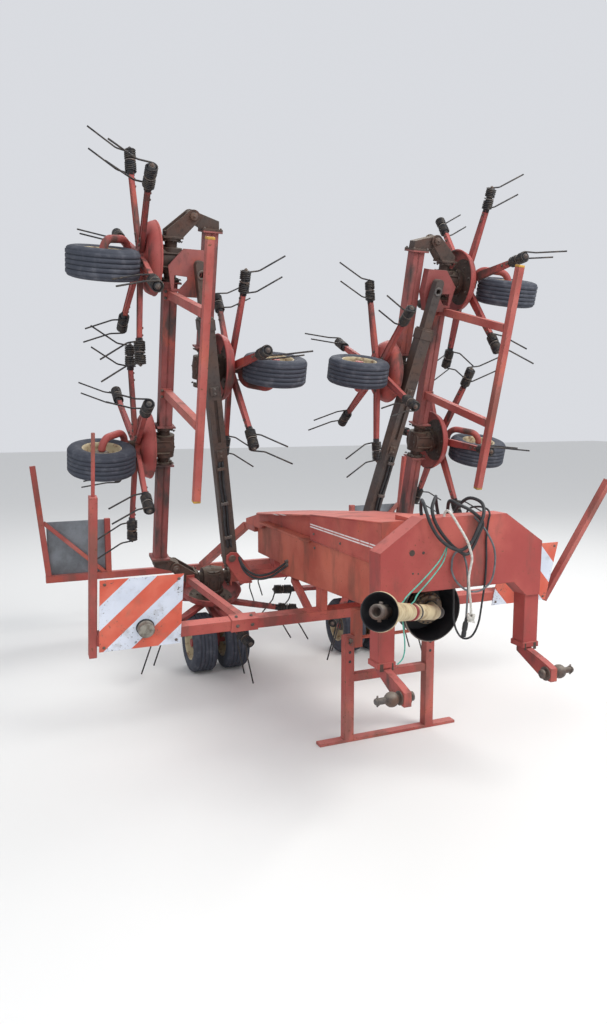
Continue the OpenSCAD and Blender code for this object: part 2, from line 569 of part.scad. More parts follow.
plug_cable_route = [[2005, 41, 1242], [2006, 70, 1214], [2019, 97, 1176], [2022, 138, 1100], [2022, 144, 1021], [2022, 124, 950],
  [2018, 70, 914], [2014, 6, 920], [2012, -49, 964], [2010, -73, 1012], [2009, -71, 1066], [2010, -45, 1098], [2016, -20, 1060],
  [2030, -9, 1030], [2036, -7, 970], [2034, -5, 900], [2032, -6, 830], [2031, -8, 783]];
module plug_cable() color("gray") machine() {
  cord(plug_cable_route, plug_cable_r);
  rod([2031, -8, 784], [2030, -18, 718], 11, 24);
}
tie_rope_r = 6;
tie_rope_route = [[1986, -103, 1249.3], [1988, -103, 1262], [2006, -104, 1278], [2036, -103, 1270], [2066, -84, 1222],
  [2076, -47, 1159], [2076, -27, 1113], [2072, -14, 1070], [2064, -22, 983], [2064, -7, 865], [2064, -5, 825]];
module tie_rope() color("white") machine() {
  cord(tie_rope_route, tie_rope_r);
  translate([2064, -5, 812]) sphere(r = 15, $fn = 16);
}

// Parking stand under the drawbar
module stand() color(bright) machine() translate([stand_x, 0, 0]) {
  w = stand_w;
  translate([-w / 2, -stand_foot / 2, 0]) cube([w, stand_foot, 14]);
  for (e = [-1, 1]) translate([-w / 2, e * stand_span / 2 - w / 2, 10]) cube([w, w, 550]);
  translate([-w / 2 + 5, -stand_span / 2, 320]) cube([w - 10, stand_span, 40]);
}

// Wings
module wing_beam(k) color(red) wing_place(k) {
  y_gear = [rotor_s(2), rotor_s(3)];
  beam_run(wing_hinge[0] + tongue_reach + fit, y_gear[0] - gear_half, true, true);
  beam_run(y_gear[0] + gear_half, y_gear[1] - gear_half, true, true);
  eye_plate();
}
// Six-sided plate over the third gear housing that carries the eye of the fold strut
eye_s = 2618;
eye_up = 133;
plate_s = 2490;
module eye_plate() {
  x0 = strut_u0 - 16;
  difference() {
    plate_yz(x0, x0 + 10, [[plate_s, beam_h + 26], [plate_s + 26, beam_h + 26], [plate_s + 26, beam_h - 14],
      [plate_s + 160, beam_h - 38], [plate_s + 255, beam_h + 45], [plate_s + 255, beam_h + 178],
      [plate_s + 110, beam_h + 190], [plate_s, beam_h + 150]]);
    plate_yz(x0 - 5, x0 + 15, [[plate_s + 113, beam_h], [plate_s + 108, beam_h + 72], [plate_s + 92, beam_h + 74],
      [plate_s + 42, beam_h + 32], [plate_s + 42, beam_h]]);
  }
  // Folded edges: the inboard one is welded to the beam
  translate([rotor_u + beam_w / 2 - 1, plate_s, beam_h + 26]) cube([x0 + 2 - rotor_u - beam_w / 2, 8, 124]);
  plate_yz(-190, x0 + 2, [[plate_s, beam_h + 150], [plate_s + 110, beam_h + 190], [plate_s + 255, beam_h + 178],
    [plate_s + 255, beam_h + 170], [plate_s + 110, beam_h + 182], [plate_s, beam_h + 142]]);
  translate([x0 + 8, eye_s, beam_h + eye_up]) rotate([0, 90, 0])
    cylinder(h = (strut_w - rod_w) / 2 + 8 - slack, r = strut_pin_r, $fn = fn_round);
}
module wing_gearboxes(k) color(grime) wing_place(k) {
  for (i = [2, 3]) gear_housing(i);
  hinge_tongue(wing_hinge);
  hinge_lugs(3, outer_hinge);
}
module wing_legs(k) color(red) wing_place(k) for (i = [2, 3]) crank_leg(i);
bar_u = 520;
module wing_guard(k) color(bright) wing_place(k) {
  translate([bar_u - 19, 1530, beam_h - 19]) cube([38, 1300, 38]);
  for (s = [1930, plate_s]) translate([rotor_u + beam_w / 2 + fit, s - 22, beam_h - 22]) cube([bar_u - rotor_u - beam_w / 2 - 18, 44, 44]);
}
module outer_beam(k) color(red) outer_place(k) {
  beam_run(outer_hinge[0] + tongue_reach + fit, rotor_s(4) - gear_half, true, true);
}
module outer_gearbox(k) color(grime) outer_place(k) {
  gear_housing(4);
  hinge_tongue(outer_hinge);
}
module outer_leg(k) color(red) outer_place(k) crank_leg(4);

// Fold strut: a channel hinged on the centre section and a rod that slides in it
strut_a = [strut_foot_y, beam_h + strut_foot_up];
function turn_point(p, c, a) = [c[0] + (p[0] - c[0]) * cos(a) - (p[1] - c[1]) * sin(a),
  c[1] + (p[0] - c[0]) * sin(a) + (p[1] - c[1]) * cos(a)];
strut_b = turn_point([eye_s, beam_h + eye_up], wing_hinge, wing_fold);
strut_len = norm(strut_b - strut_a);
strut_angle = atan2(strut_b[1] - strut_a[1], strut_b[0] - strut_a[0]);
channel_t = 8;
rod_w = 54;
rod_past_eye = 48;
channel_len = 1500;
module along_strut(k) centre_place(k) translate([strut_u0 + strut_w / 2, strut_a[0], strut_a[1]])
  rotate([strut_angle, 0, 0]) children();
// In the strut frame Y runs along the strut and X is forward
module strut_channel(k) color(grime) along_strut(k) difference() {
  translate([-strut_w / 2, -60, -strut_w / 2]) cube([strut_w, channel_len + 60, strut_w]);
  translate([-strut_w / 2 + channel_t, 60, -strut_w / 2 + channel_t])
    cube([strut_w - 2 * channel_t, channel_len - 120, strut_w - 2 * channel_t]);
  translate([-rod_w / 2 - 0.5, 60, -rod_w / 2 - 0.5]) cube([rod_w + 1, channel_len, rod_w + 1]);
  translate([0, 770, -10]) cube([strut_w, 260, 20]);
  translate([-strut_w, 0, 0]) rotate([0, 90, 0]) cylinder(h = 2 * strut_w, r = strut_pin_r + fit, $fn = fn_round);
}
module strut_rod(k) color(grime) along_strut(k) difference() {
  union() {
    translate([-rod_w / 2, 560, -rod_w / 2]) cube([rod_w, strut_len - 560 + rod_past_eye, rod_w]);
    translate([-rod_w / 2, strut_len + rod_past_eye, 0]) rotate([0, 90, 0]) cylinder(h = rod_w, r = rod_w / 2, $fn = fn_round);
  }
  translate([-strut_w, strut_len, 0]) rotate([0, 90, 0]) cylinder(h = 2 * strut_w, r = strut_pin_r + 1, $fn = fn_round);
}

module rotor(k, i) color(red) section_place(k, i) rotor_shape(k, i);
module wheel(k, i) color(rubber) section_place(k, i) wheels_shape(i);

centre_beam();
centre_gearboxes();
centre_legs();
drawbar_cover();
drawbar_box();
front_guard();
front_boards();
front_posts();
lamps();
rear_frame();
rear_boards();
pto_guard();
pto_clutch();
yoke();
link_pins();
pto_shaft();
pto_end_guard();
pto_end_yoke();
hoses();
plug_cable();
tie_rope();
stand();
for (side = [["left", LEFT], ["right", RIGHT]]) {
  k = side[1];
  wing_beam(k);
  wing_gearboxes(k);
  wing_legs(k);
  outer_leg(k);
  wing_guard(k);
  outer_beam(k);
  outer_gearbox(k);
  strut_channel(k);
  strut_rod(k);
  for (i = [1:4]) {
    rotor(k, i);
    wheel(k, i);
  }
}
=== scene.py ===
"""Looks of the folded hay tedder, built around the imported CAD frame. Metres, X forwards, Y left, Z up."""

import math
import random

import bpy
from mathutils import Matrix, Vector


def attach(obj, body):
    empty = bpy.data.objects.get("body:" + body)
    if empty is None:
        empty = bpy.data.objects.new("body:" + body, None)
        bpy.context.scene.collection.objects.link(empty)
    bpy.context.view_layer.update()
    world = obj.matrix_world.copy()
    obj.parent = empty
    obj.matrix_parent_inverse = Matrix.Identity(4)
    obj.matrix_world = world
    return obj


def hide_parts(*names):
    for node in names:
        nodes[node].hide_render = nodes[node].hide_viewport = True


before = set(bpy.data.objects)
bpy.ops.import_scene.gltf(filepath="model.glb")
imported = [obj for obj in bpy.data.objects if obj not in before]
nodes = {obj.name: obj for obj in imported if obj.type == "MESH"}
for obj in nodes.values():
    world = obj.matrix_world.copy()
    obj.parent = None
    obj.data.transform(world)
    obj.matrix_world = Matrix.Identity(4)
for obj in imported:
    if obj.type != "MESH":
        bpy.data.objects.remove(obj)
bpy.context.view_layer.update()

# Sizes shared with part.scad, in millimetres and degrees
TILT = 14.5
STAND_X = 1345
PITCH = 1070
ROTOR_U = -240
BEAM_W = 76
WHEEL_LEAD, WHEEL_DROP, WHEEL_IN, TWIN_PITCH = 165, 392, -30, 216
TYRE_R, TYRE_W, RIM_R = 190, 160, 104
PHASE = 51
ARM_LEN, ARM_W, ARM_Z, ARM_T, ARM_DROOP, DISH_R = 455, 46, -152, 26, 3.5, 200
COIL_R, COIL_LEN, TINE_D, TINE_DROP = 32.5, 130, 9.5, 415
WING_FOLD, OUTER_FOLD = 90, 180
GUARD_U, GUARD_W = 703, 755
BOARD_Y, BOARD_W, BOARD_Z, BOARD_H = 1208, 420, 722, 405
BOARD_FOOT, STRIPE_PITCH = BOARD_Z - 30, 283
BAR_U = 520
DRAWBAR_FRONT, PTO_Z = 1620, 770
SWIVEL_X = 1800
SHAFT_FROM, SHAFT_TO = Vector((SWIVEL_X, 0, PTO_Z)), Vector((2350, -580, 967))
HOSE_X, HOSE_Z, HOSE_R, CABLE_R = 1893, 1175, 7.5, 4.5
YOKE_X, YOKE_D = 1905, 95
LINK_Y, LINK_Z, LINK_X, LINK_PIN_R, BALL_R = 434, 531, 2132, 14, 32
STRUT_U0, STRUT_W, ROD_W, FOOT_S, FOOT_UP = -125, 80, 54, 475, 220
EYE_S, EYE_UP, PLATE_S = 2618, 133, 2490
LEFT, RIGHT = 1, -1
SIDES = (("left", LEFT), ("right", RIGHT))
LEAN = math.radians(TILT)
BEAM_H = WHEEL_DROP + (TYRE_R + (ROTOR_U + WHEEL_LEAD) * math.sin(LEAN)) / math.cos(LEAN)
WING_HINGE = (0.5 * PITCH + 255, BEAM_H + 100)
OUTER_HINGE = (2.5 * PITCH + 237, BEAM_H + 110)
COIL_Z = ARM_Z - ARM_T / 2 - 2 - ARM_LEN * math.sin(math.radians(ARM_DROOP))


# Places

def rot(axis, degrees):
    return Matrix.Rotation(math.radians(degrees), 4, axis)


def at(x, y, z):
    return Matrix.Translation((x, y, z))


def turned(point, degrees):
    """A turn about the line along X through (y, z)."""
    return at(0, *point) @ rot("X", degrees) @ at(0, -point[0], -point[1])


def upright(k=LEFT):
    """Millimetres above the ground, with X forward of the wheel line, into the frame's metres."""
    mirror = Matrix.Scale(-1, 4, (0, 1, 0)) if k == RIGHT else Matrix.Identity(4)
    return Matrix.Scale(0.001, 4) @ at(-STAND_X, 0, 0) @ mirror


def leaning(k, section=1):
    """The leaning rotor frame of a side: section 1 is the centre, 2 and 3 the wing, 4 the outer beam."""
    place = upright(k) @ rot("Y", TILT)
    if section >= 2:
        place = place @ turned(WING_HINGE, WING_FOLD)
    if section == 4:
        place = place @ turned(OUTER_HINGE, OUTER_FOLD)
    return place


def at_rotor(k, i):
    return leaning(k, i) @ at(ROTOR_U, (i - 0.5) * PITCH, BEAM_H)


def phase(k, i):
    return (0 if k == RIGHT else 30) + (PHASE if i % 2 == 1 else 30 - PHASE)


# The camera, solved from the photograph. In its pixels: focal length, height, and how far the horizon
# is from the middle. The sensor is in millimetres.
FOCAL, HEIGHT, HORIZON, SENSOR = 772, 1024, 102, 36.0
camera_data = bpy.data.cameras.new("camera")
camera_data.sensor_fit = "VERTICAL"
camera_data.sensor_height = SENSOR
camera_data.sensor_width = SENSOR
camera_data.lens = SENSOR * FOCAL / HEIGHT
camera = bpy.data.objects.new("camera", camera_data)
bpy.context.scene.collection.objects.link(camera)
yaw, pitch = math.radians(23.25), math.atan(HORIZON / FOCAL)
look = Vector((-math.cos(yaw) * math.cos(pitch), math.sin(yaw) * math.cos(pitch), -math.sin(pitch)))
right = Vector((math.sin(yaw), math.cos(yaw), 0))
up = right.cross(look)
camera.matrix_world = Matrix.Translation((4.775 - STAND_X / 1000, -1.961, 1.705)) @ Matrix((
    (right.x, up.x, -look.x, 0), (right.y, up.y, -look.y, 0), (right.z, up.z, -look.z, 0), (0, 0, 0, 1)))
bpy.context.scene.camera = camera


# Meshes

class Shape:
    """Collects faces with a material number each, and makes one piece of them."""

    def __init__(self):
        self.verts, self.faces, self.mats, self.smooth = [], [], [], []

    def add(self, verts, faces, place=Matrix.Identity(4), mat=0, smooth=True):
        base = len(self.verts)
        flip = place.determinant() < 0
        self.verts += [place @ Vector(v) for v in verts]
        for f in faces:
            f = [base + i for i in f]
            self.faces.append(f[::-1] if flip else f)
            self.mats.append(mat)
            self.smooth.append(smooth)

    def revolve(self, profile, n, place, mat=0, closed=False, smooth=True):
        """Turns (height, radius) points about Z. An open profile with radius 0 at an end closes itself."""
        m = len(profile)
        verts = [(r * math.cos(math.tau * j / n), r * math.sin(math.tau * j / n), h)
                 for j in range(n) for h, r in profile]
        last = m if closed else m - 1
        faces = [(j * m + i, ((j + 1) % n) * m + i, ((j + 1) % n) * m + (i + 1) % m, j * m + (i + 1) % m)
                 for j in range(n) for i in range(last)]
        self.add(verts, faces, place, mat, smooth)

    def tube(self, path, radius, n, place=Matrix.Identity(4), mat=0):
        """A round tube along a path, with a frame carried along it so that it doesn't twist."""
        path = [Vector(p) for p in path]
        side, verts = None, []
        for i, p in enumerate(path):
            d = (path[min(i + 1, len(path) - 1)] - path[max(i - 1, 0)]).normalized()
            if side is None:
                side = d.cross(Vector((0.31, 0.52, 0.79))).normalized()
            side = (side - d * side.dot(d)).normalized()
            up = d.cross(side)
            verts += [p + (side * math.cos(math.tau * j / n) + up * math.sin(math.tau * j / n)) * radius
                      for j in range(n)]
        faces = [(i * n + j, i * n + (j + 1) % n, (i + 1) * n + (j + 1) % n, (i + 1) * n + j)
                 for i in range(len(path) - 1) for j in range(n)]
        faces += [tuple(range(n))[::-1], tuple(range((len(path) - 1) * n, len(path) * n))]
        self.add(verts, faces, place, mat)

    def block(self, low, high, place=Matrix.Identity(4), mat=0, bevel=1.5):
        """A box with chamfered edges."""
        b = min(bevel, *(0.3 * (h - l) for l, h in zip(low, high)))
        verts, ids = [], {}
        for sx in (0, 1):
            for sy in (0, 1):
                for sz in (0, 1):
                    s = (sx, sy, sz)
                    for axis in range(3):
                        v = [high[i] if s[i] else low[i] for i in range(3)]
                        for i in range(3):
                            if i != axis:
                                v[i] += -b if s[i] else b
                        ids[s, axis] = len(verts)
                        verts.append(v)
        faces = []
        for axis in range(3):
            a, c = [i for i in range(3) if i != axis]
            for e in (0, 1):
                ring = []
                for p, q in ((0, 0), (1, 0), (1, 1), (0, 1)):
                    s = [0, 0, 0]
                    s[axis], s[a], s[c] = e, p, q
                    ring.append(ids[tuple(s), axis])
                faces.append(ring if (e == 1) == (axis != 1) else ring[::-1])
        for axis in range(3):
            a, c = [i for i in range(3) if i != axis]
            for p in (0, 1):
                for q in (0, 1):
                    s0, s1 = [0, 0, 0], [0, 0, 0]
                    s0[a] = s1[a] = p
                    s0[c] = s1[c] = q
                    s0[axis], s1[axis] = 0, 1
                    s0, s1 = tuple(s0), tuple(s1)
                    ring = [ids[s0, a], ids[s1, a], ids[s1, c], ids[s0, c]]
                    faces.append(ring if (p == q) == (axis == 1) else ring[::-1])
        for s in [(x, y, z) for x in (0, 1) for y in (0, 1) for z in (0, 1)]:
            ring = [ids[s, 0], ids[s, 1], ids[s, 2]]
            faces.append(ring if sum(s) % 2 == 1 else ring[::-1])
        self.add(verts, faces, place, mat, smooth=False)

    def prism(self, points, low, high, place=Matrix.Identity(4), mat=0):
        """A flat outline of (x, y) points, drawn up along Z."""
        n = len(points)
        if sum(a[0] * b[1] - b[0] * a[1] for a, b in zip(points, points[1:] + points[:1])) < 0:
            points = points[::-1]
        verts = [(x, y, z) for z in (low, high) for x, y in points]
        faces = [tuple(range(n))[::-1], tuple(range(n, 2 * n))]
        faces += [(i, (i + 1) % n, n + (i + 1) % n, n + i) for i in range(n)]
        self.add(verts, faces, place, mat, smooth=False)

    def bolt(self, place, size, mat):
        """A hexagon head on a washer, standing up along Z."""
        head = size * 0.65
        self.revolve([(0, size * 1.15), (1.6, size * 1.15), (1.6, size * 0.9)], 16, place, mat, smooth=False)
        self.revolve([(1.6, size * 0.9), (head, size * 0.9), (head + 1.4, size * 0.74), (head + 1.4, 0)], 6,
                     place, mat, smooth=False)
        self.revolve([(head, size * 0.42), (head + size * 0.45, size * 0.42), (head + size * 0.45, 0)], 10,
                     place, mat)

    def piece(self, name, body, materials, replaces=()):
        mesh = bpy.data.meshes.new(name)
        mesh.from_pydata([tuple(v) for v in self.verts], [], self.faces)
        mesh.polygons.foreach_set("material_index", self.mats)
        mesh.polygons.foreach_set("use_smooth", self.smooth)
        for m in materials:
            mesh.materials.append(m)
        mesh.validate()
        mesh.update()
        obj = bpy.data.objects.new(name, mesh)
        bpy.context.scene.collection.objects.link(obj)
        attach(obj, body)
        if replaces:
            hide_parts(*replaces)
        return obj


# Materials

def lin(r, g, b):
    """An 8-bit sRGB colour as linear RGBA."""
    linear = [c / 255 / 12.92 if c <= 10 else ((c / 255 + 0.055) / 1.055) ** 2.4 for c in (r, g, b)]
    return (*linear, 1.0)


class Nodes:
    """A short way to write a node tree around one Principled shader."""

    def __init__(self, name, roughness=0.6, metallic=0.0):
        self.mat = bpy.data.materials.new(name)
        self.mat.use_nodes = True
        self.tree = self.mat.node_tree
        self.tree.nodes.clear()
        out = self.tree.nodes.new("ShaderNodeOutputMaterial")
        self.bsdf = self.tree.nodes.new("ShaderNodeBsdfPrincipled")
        self.bsdf.inputs["Metallic"].default_value = metallic
        self.bsdf.inputs["Roughness"].default_value = roughness
        self.link(self.bsdf.outputs[0], out.inputs[0])
        self.coord = self.tree.nodes.new("ShaderNodeTexCoord")
        self.place = self.coord.outputs["Object"]

    def link(self, a, b):
        self.tree.links.new(a, b)

    def put(self, value, socket):
        if isinstance(value, bpy.types.NodeSocket):
            self.link(value, socket)
        else:
            socket.default_value = value

    def noise(self, scale, detail=4.0, roughness=0.55, stretch=None):
        n = self.tree.nodes.new("ShaderNodeTexNoise")
        n.inputs["Scale"].default_value = scale
        n.inputs["Detail"].default_value = detail
        n.inputs["Roughness"].default_value = roughness
        place = self.place
        if stretch:
            m = self.tree.nodes.new("ShaderNodeMapping")
            m.inputs["Scale"].default_value = stretch
            self.link(place, m.inputs[0])
            place = m.outputs[0]
        self.link(place, n.inputs["Vector"])
        return n.outputs["Fac"]

    def ramp(self, fac, low, high):
        n = self.tree.nodes.new("ShaderNodeMapRange")
        n.interpolation_type = "SMOOTHSTEP"
        n.inputs["From Min"].default_value = low
        n.inputs["From Max"].default_value = high
        self.link(fac, n.inputs["Value"])
        return n.outputs[0]

    def math(self, op, a, b=0.0):
        n = self.tree.nodes.new("ShaderNodeMath")
        n.operation = op
        self.put(a, n.inputs[0])
        self.put(b, n.inputs[1])
        return n.outputs[0]

    def mix(self, fac, a, b):
        n = self.tree.nodes.new("ShaderNodeMix")
        n.data_type = "RGBA"
        self.put(fac, n.inputs[0])
        self.put(a, n.inputs[6])
        self.put(b, n.inputs[7])
        return n.outputs[2]

    def upwards(self):
        """How far a surface faces up as the part stands, carried along with its body."""
        n = self.tree.nodes.new("ShaderNodeSeparateXYZ")
        self.link(self.coord.outputs["Normal"], n.inputs[0])
        return n.outputs[2]

    def edges(self, radius, low=0.02, high=0.2):
        """1 along sharp edges, with the rounded normal that also goes to the shader."""
        bevel = self.tree.nodes.new("ShaderNodeBevel")
        bevel.samples = 4
        bevel.inputs["Radius"].default_value = radius
        geometry = self.tree.nodes.new("ShaderNodeNewGeometry")
        dot = self.tree.nodes.new("ShaderNodeVectorMath")
        dot.operation = "DOT_PRODUCT"
        self.link(bevel.outputs[0], dot.inputs[0])
        self.link(geometry.outputs["Normal"], dot.inputs[1])
        self.rounded = bevel.outputs[0]
        return self.ramp(self.math("SUBTRACT", 1.0, dot.outputs["Value"]), low, high)

    def bump(self, height, strength, distance=0.002):
        n = self.tree.nodes.new("ShaderNodeBump")
        n.inputs["Strength"].default_value = strength
        n.inputs["Distance"].default_value = distance
        self.link(height, n.inputs["Height"])
        if hasattr(self, "rounded"):
            self.link(self.rounded, n.inputs["Normal"])
        self.link(n.outputs[0], self.bsdf.inputs["Normal"])

    def finish(self, colour, roughness=None):
        self.put(colour, self.bsdf.inputs["Base Color"])
        if roughness is not None:
            self.put(roughness, self.bsdf.inputs["Roughness"])
        return self.mat


def paint(name, base, faded, grime, rust=(104, 62, 40), wear=0.5, dirt=0.5, overlay=None):
    """Old paint: faded and lit with painted skylight where it faces up, chipped along edges, with dirty
    streaks and rust freckles.
    """
    n = Nodes(name)
    edge = n.edges(0.006)
    broad = n.noise(2.2, 5.0)
    colour = n.mix(n.ramp(broad, 0.38, 0.64), lin(*base), lin(*faded))
    # Orange bloom where the top coat has gone thin
    bloom = n.ramp(n.noise(4.3, 7.0, 0.62), 0.54, 0.66)
    colour = n.mix(n.math("MULTIPLY", bloom, 0.45 * wear), colour, lin(186, 84, 52))
    # Lighter where it faces up: partly fading of the paint, partly painted skylight
    sky_light_and_weather = n.ramp(n.math("ADD", n.upwards(), n.math("MULTIPLY", n.noise(9.0), 0.5)), 0.55, 1.25)
    colour = n.mix(n.math("MULTIPLY", sky_light_and_weather, 0.6), colour, lin(*[min(255, c + 26) for c in faded]))
    if overlay:
        colour = overlay(n, colour)
    streak = n.noise(7.0, 6.0, 0.6, stretch=(1.0, 1.0, 0.35))
    colour = n.mix(n.math("MULTIPLY", n.ramp(streak, 0.48, 0.66), dirt), colour, lin(*grime))
    freckle = n.ramp(n.noise(70.0, 3.0, 0.6), 0.62, 0.67)
    patch = n.ramp(n.noise(9.0, 5.0, 0.6), 0.54, 0.63)
    spots = n.math("ADD", n.math("MULTIPLY", freckle, 0.7), n.math("MULTIPLY", patch, freckle))
    colour = n.mix(n.math("MULTIPLY", spots, wear), colour, lin(*rust))
    chipped = n.math("MULTIPLY", edge, n.ramp(n.noise(40.0, 5.0, 0.65), 0.45, 0.56))
    under = [int(0.5 * (a + b)) for a, b in zip(rust, grime)]
    colour = n.mix(n.math("MULTIPLY", chipped, wear), colour, lin(*under))
    n.bump(n.noise(130.0, 4.0), 0.25, 0.0008)
    return n.finish(colour, n.math("ADD", 0.48, n.math("MULTIPLY", streak, 0.35)))


def greasy(name, base, dust_and_sky_light, rust, shine=0.6):
    """Cast or rolled steel under old grease, with dust and painted skylight on what faces up and rust showing
    through.
    """
    n = Nodes(name, metallic=0.15)
    edge = n.edges(0.004)
    broad = n.noise(6.0, 6.0, 0.62)
    colour = n.mix(n.ramp(broad, 0.3, 0.72), lin(*base), lin(*rust))
    # Lighter where it faces up: settled dust and painted skylight
    sky_light_and_weather = n.ramp(n.math("ADD", n.upwards(), n.noise(16.0, 5.0)), 0.75, 1.35)
    colour = n.mix(n.math("MULTIPLY", sky_light_and_weather, 0.8), colour, lin(*dust_and_sky_light))
    clump = n.ramp(n.noise(38.0, 6.0, 0.68), 0.5, 0.66)
    colour = n.mix(n.math("MULTIPLY", clump, 0.5), colour, lin(*[int(c * 0.45) for c in base]))
    colour = n.mix(n.math("MULTIPLY", edge, 0.4), colour, lin(*dust_and_sky_light))
    n.bump(n.noise(70.0, 6.0, 0.7), 0.5, 0.0016)
    return n.finish(colour, n.math("ADD", shine - 0.12, n.math("MULTIPLY", broad, 0.45)))


def plain(name, base, other, rough=0.55, metallic=0.0, scale=14.0, bump=0.2, spread=(0.35, 0.75)):
    """A moulded, rolled or sheet surface with stains in a second colour."""
    n = Nodes(name, metallic=metallic)
    n.edges(0.0015)
    stain = n.noise(scale, 6.0, 0.62)
    colour = n.mix(n.ramp(stain, *spread), lin(*base), lin(*other))
    n.bump(n.noise(scale * 9, 4.0), bump, 0.0008)
    return n.finish(colour, n.math("ADD", rough - 0.1, n.math("MULTIPLY", stain, 0.3)))


def stripes(name):
    """Orange and white diagonal bands that mirror from side to side, chipped where the sheet is old."""
    n = Nodes(name)
    n.edges(0.001)
    split = n.tree.nodes.new("ShaderNodeSeparateXYZ")
    n.link(n.place, split.inputs[0])
    x, y, z = split.outputs
    top = (BOARD_FOOT + BOARD_H) / 1000
    # Height on the leaning board, from the frame's X and Z
    forwards = n.math("MULTIPLY", n.math("ADD", x, STAND_X / 1000), math.sin(LEAN))
    up = n.math("ADD", forwards, n.math("MULTIPLY", z, math.cos(LEAN)))
    inwards = n.math("SUBTRACT", (BOARD_Y + BOARD_W / 2) / 1000, n.math("ABSOLUTE", y))
    along = n.math("ADD", inwards, n.math("SUBTRACT", top, up))
    wave = n.math("FRACT", n.math("DIVIDE", along, STRIPE_PITCH / 1000))
    band = n.math("GREATER_THAN", wave, 0.5)
    orange = n.mix(n.ramp(n.noise(5.0), 0.35, 0.7), lin(198, 82, 60), lin(212, 108, 86))
    white = n.mix(n.ramp(n.noise(4.0), 0.35, 0.7), lin(214, 220, 232), lin(196, 204, 218))
    colour = n.mix(band, orange, white)
    flakes = n.ramp(n.noise(75.0, 4.0, 0.6), 0.6, 0.64)
    chips = n.math("MULTIPLY", flakes, n.ramp(n.noise(6.0, 3.0), 0.46, 0.6))
    colour = n.mix(chips, colour, lin(70, 66, 64))
    grime = n.ramp(n.noise(12.0, 6.0, 0.65), 0.48, 0.7)
    colour = n.mix(n.math("MULTIPLY", grime, 0.3), colour, lin(120, 108, 92))
    n.bump(n.noise(90.0, 3.0), 0.15, 0.0006)
    return n.finish(colour, 0.5)


def cover_lines(n, colour):
    """Two thin pale lines along the side of the drawbar cover."""
    split = n.tree.nodes.new("ShaderNodeSeparateXYZ")
    n.link(n.place, split.inputs[0])
    _, y, z = split.outputs
    line, half_width = None, 0.0035
    for height in (1.060, 1.046):
        off = n.math("ABSOLUTE", n.math("SUBTRACT", z, height))
        this = n.math("LESS_THAN", off, half_width)
        line = this if line is None else n.math("MAXIMUM", line, this)
    on_side = n.math("GREATER_THAN", n.math("ABSOLUTE", y), 0.2)
    worn = n.ramp(n.noise(30.0, 5.0, 0.65), 0.3, 0.45)
    return n.mix(n.math("MULTIPLY", n.math("MULTIPLY", line, on_side), worn), colour, lin(222, 214, 212))


red = paint("red_paint", (150, 60, 56), (178, 88, 78), (84, 66, 58), dirt=0.55)
red_cover = paint("cover_paint", (156, 62, 56), (182, 90, 76), (86, 66, 56), dirt=0.4, overlay=cover_lines)
red_beam = paint("wing_paint", (128, 62, 60), (146, 84, 80), (64, 54, 52), dirt=0.95, wear=0.8)
red_dark = paint("rotor_paint", (140, 56, 54), (160, 78, 72), (62, 52, 48), dirt=0.9, wear=0.7)
bright = paint("bright_paint", (152, 64, 58), (172, 96, 88), (92, 74, 64), dirt=0.5, wear=0.8)
red_box = paint("box_paint", (158, 68, 52), (186, 100, 80), (88, 66, 54), dirt=0.5)
grime = greasy("greasy_casting", (66, 58, 54), (112, 100, 86), (84, 58, 48))
rusty = greasy("strut_steel", (70, 64, 62), (104, 96, 88), (86, 66, 56), shine=0.5)
bare = greasy("bare_steel", (82, 80, 80), (126, 118, 108), (94, 68, 54), shine=0.45)
tine_steel = plain("tine_steel", (44, 45, 49), (82, 74, 66), rough=0.45, metallic=0.55, scale=40)
rubber = plain("tyre_rubber", (54, 58, 69), (90, 92, 100), rough=0.75, scale=18, spread=(0.45, 0.8))
rim_paint = plain("rim_cream", (178, 164, 132), (118, 88, 64), rough=0.6, scale=30, spread=(0.45, 0.68))
black = plain("black_plastic", (28, 28, 32), (64, 62, 62), rough=0.5, scale=12, spread=(0.45, 0.9))
cream = plain("cream_plastic", (188, 172, 138), (132, 108, 78), rough=0.6, scale=16, spread=(0.42, 0.72))
clutch_metal = plain("clutch_metal", (134, 118, 96), (86, 70, 58), metallic=0.2, scale=22)
lens = plain("lamp_lens", (136, 132, 122), (92, 84, 74), rough=0.35, scale=30, spread=(0.4, 0.7))
zinc = plain("zinc_sheet", (128, 134, 140), (98, 102, 106), rough=0.42, metallic=0.35, scale=7, bump=0.08)
board = stripes("striped_board")
yellow = plain("yellow_cap", (190, 146, 56), (128, 100, 50), rough=0.6, scale=30)
hose_black = plain("hose_rubber", (30, 31, 34), (62, 62, 64), rough=0.5, scale=30, spread=(0.45, 0.8))
cable_grey = plain("cable_sheath", (104, 108, 112), (70, 72, 74), rough=0.55, scale=24)
rope_white = plain("rope_fibre", (206, 204, 198), (150, 146, 136), rough=0.9, scale=60, bump=0.6)
twine = plain("teal_twine", (92, 168, 150), (70, 130, 118), rough=0.8, scale=60)
bell_edge = plain("bell_edge", (146, 132, 116), (66, 62, 60), rough=0.6, scale=9, spread=(0.4, 0.7))
red_ring = plain("red_ring", (150, 40, 44), (96, 36, 38), rough=0.5, scale=30)

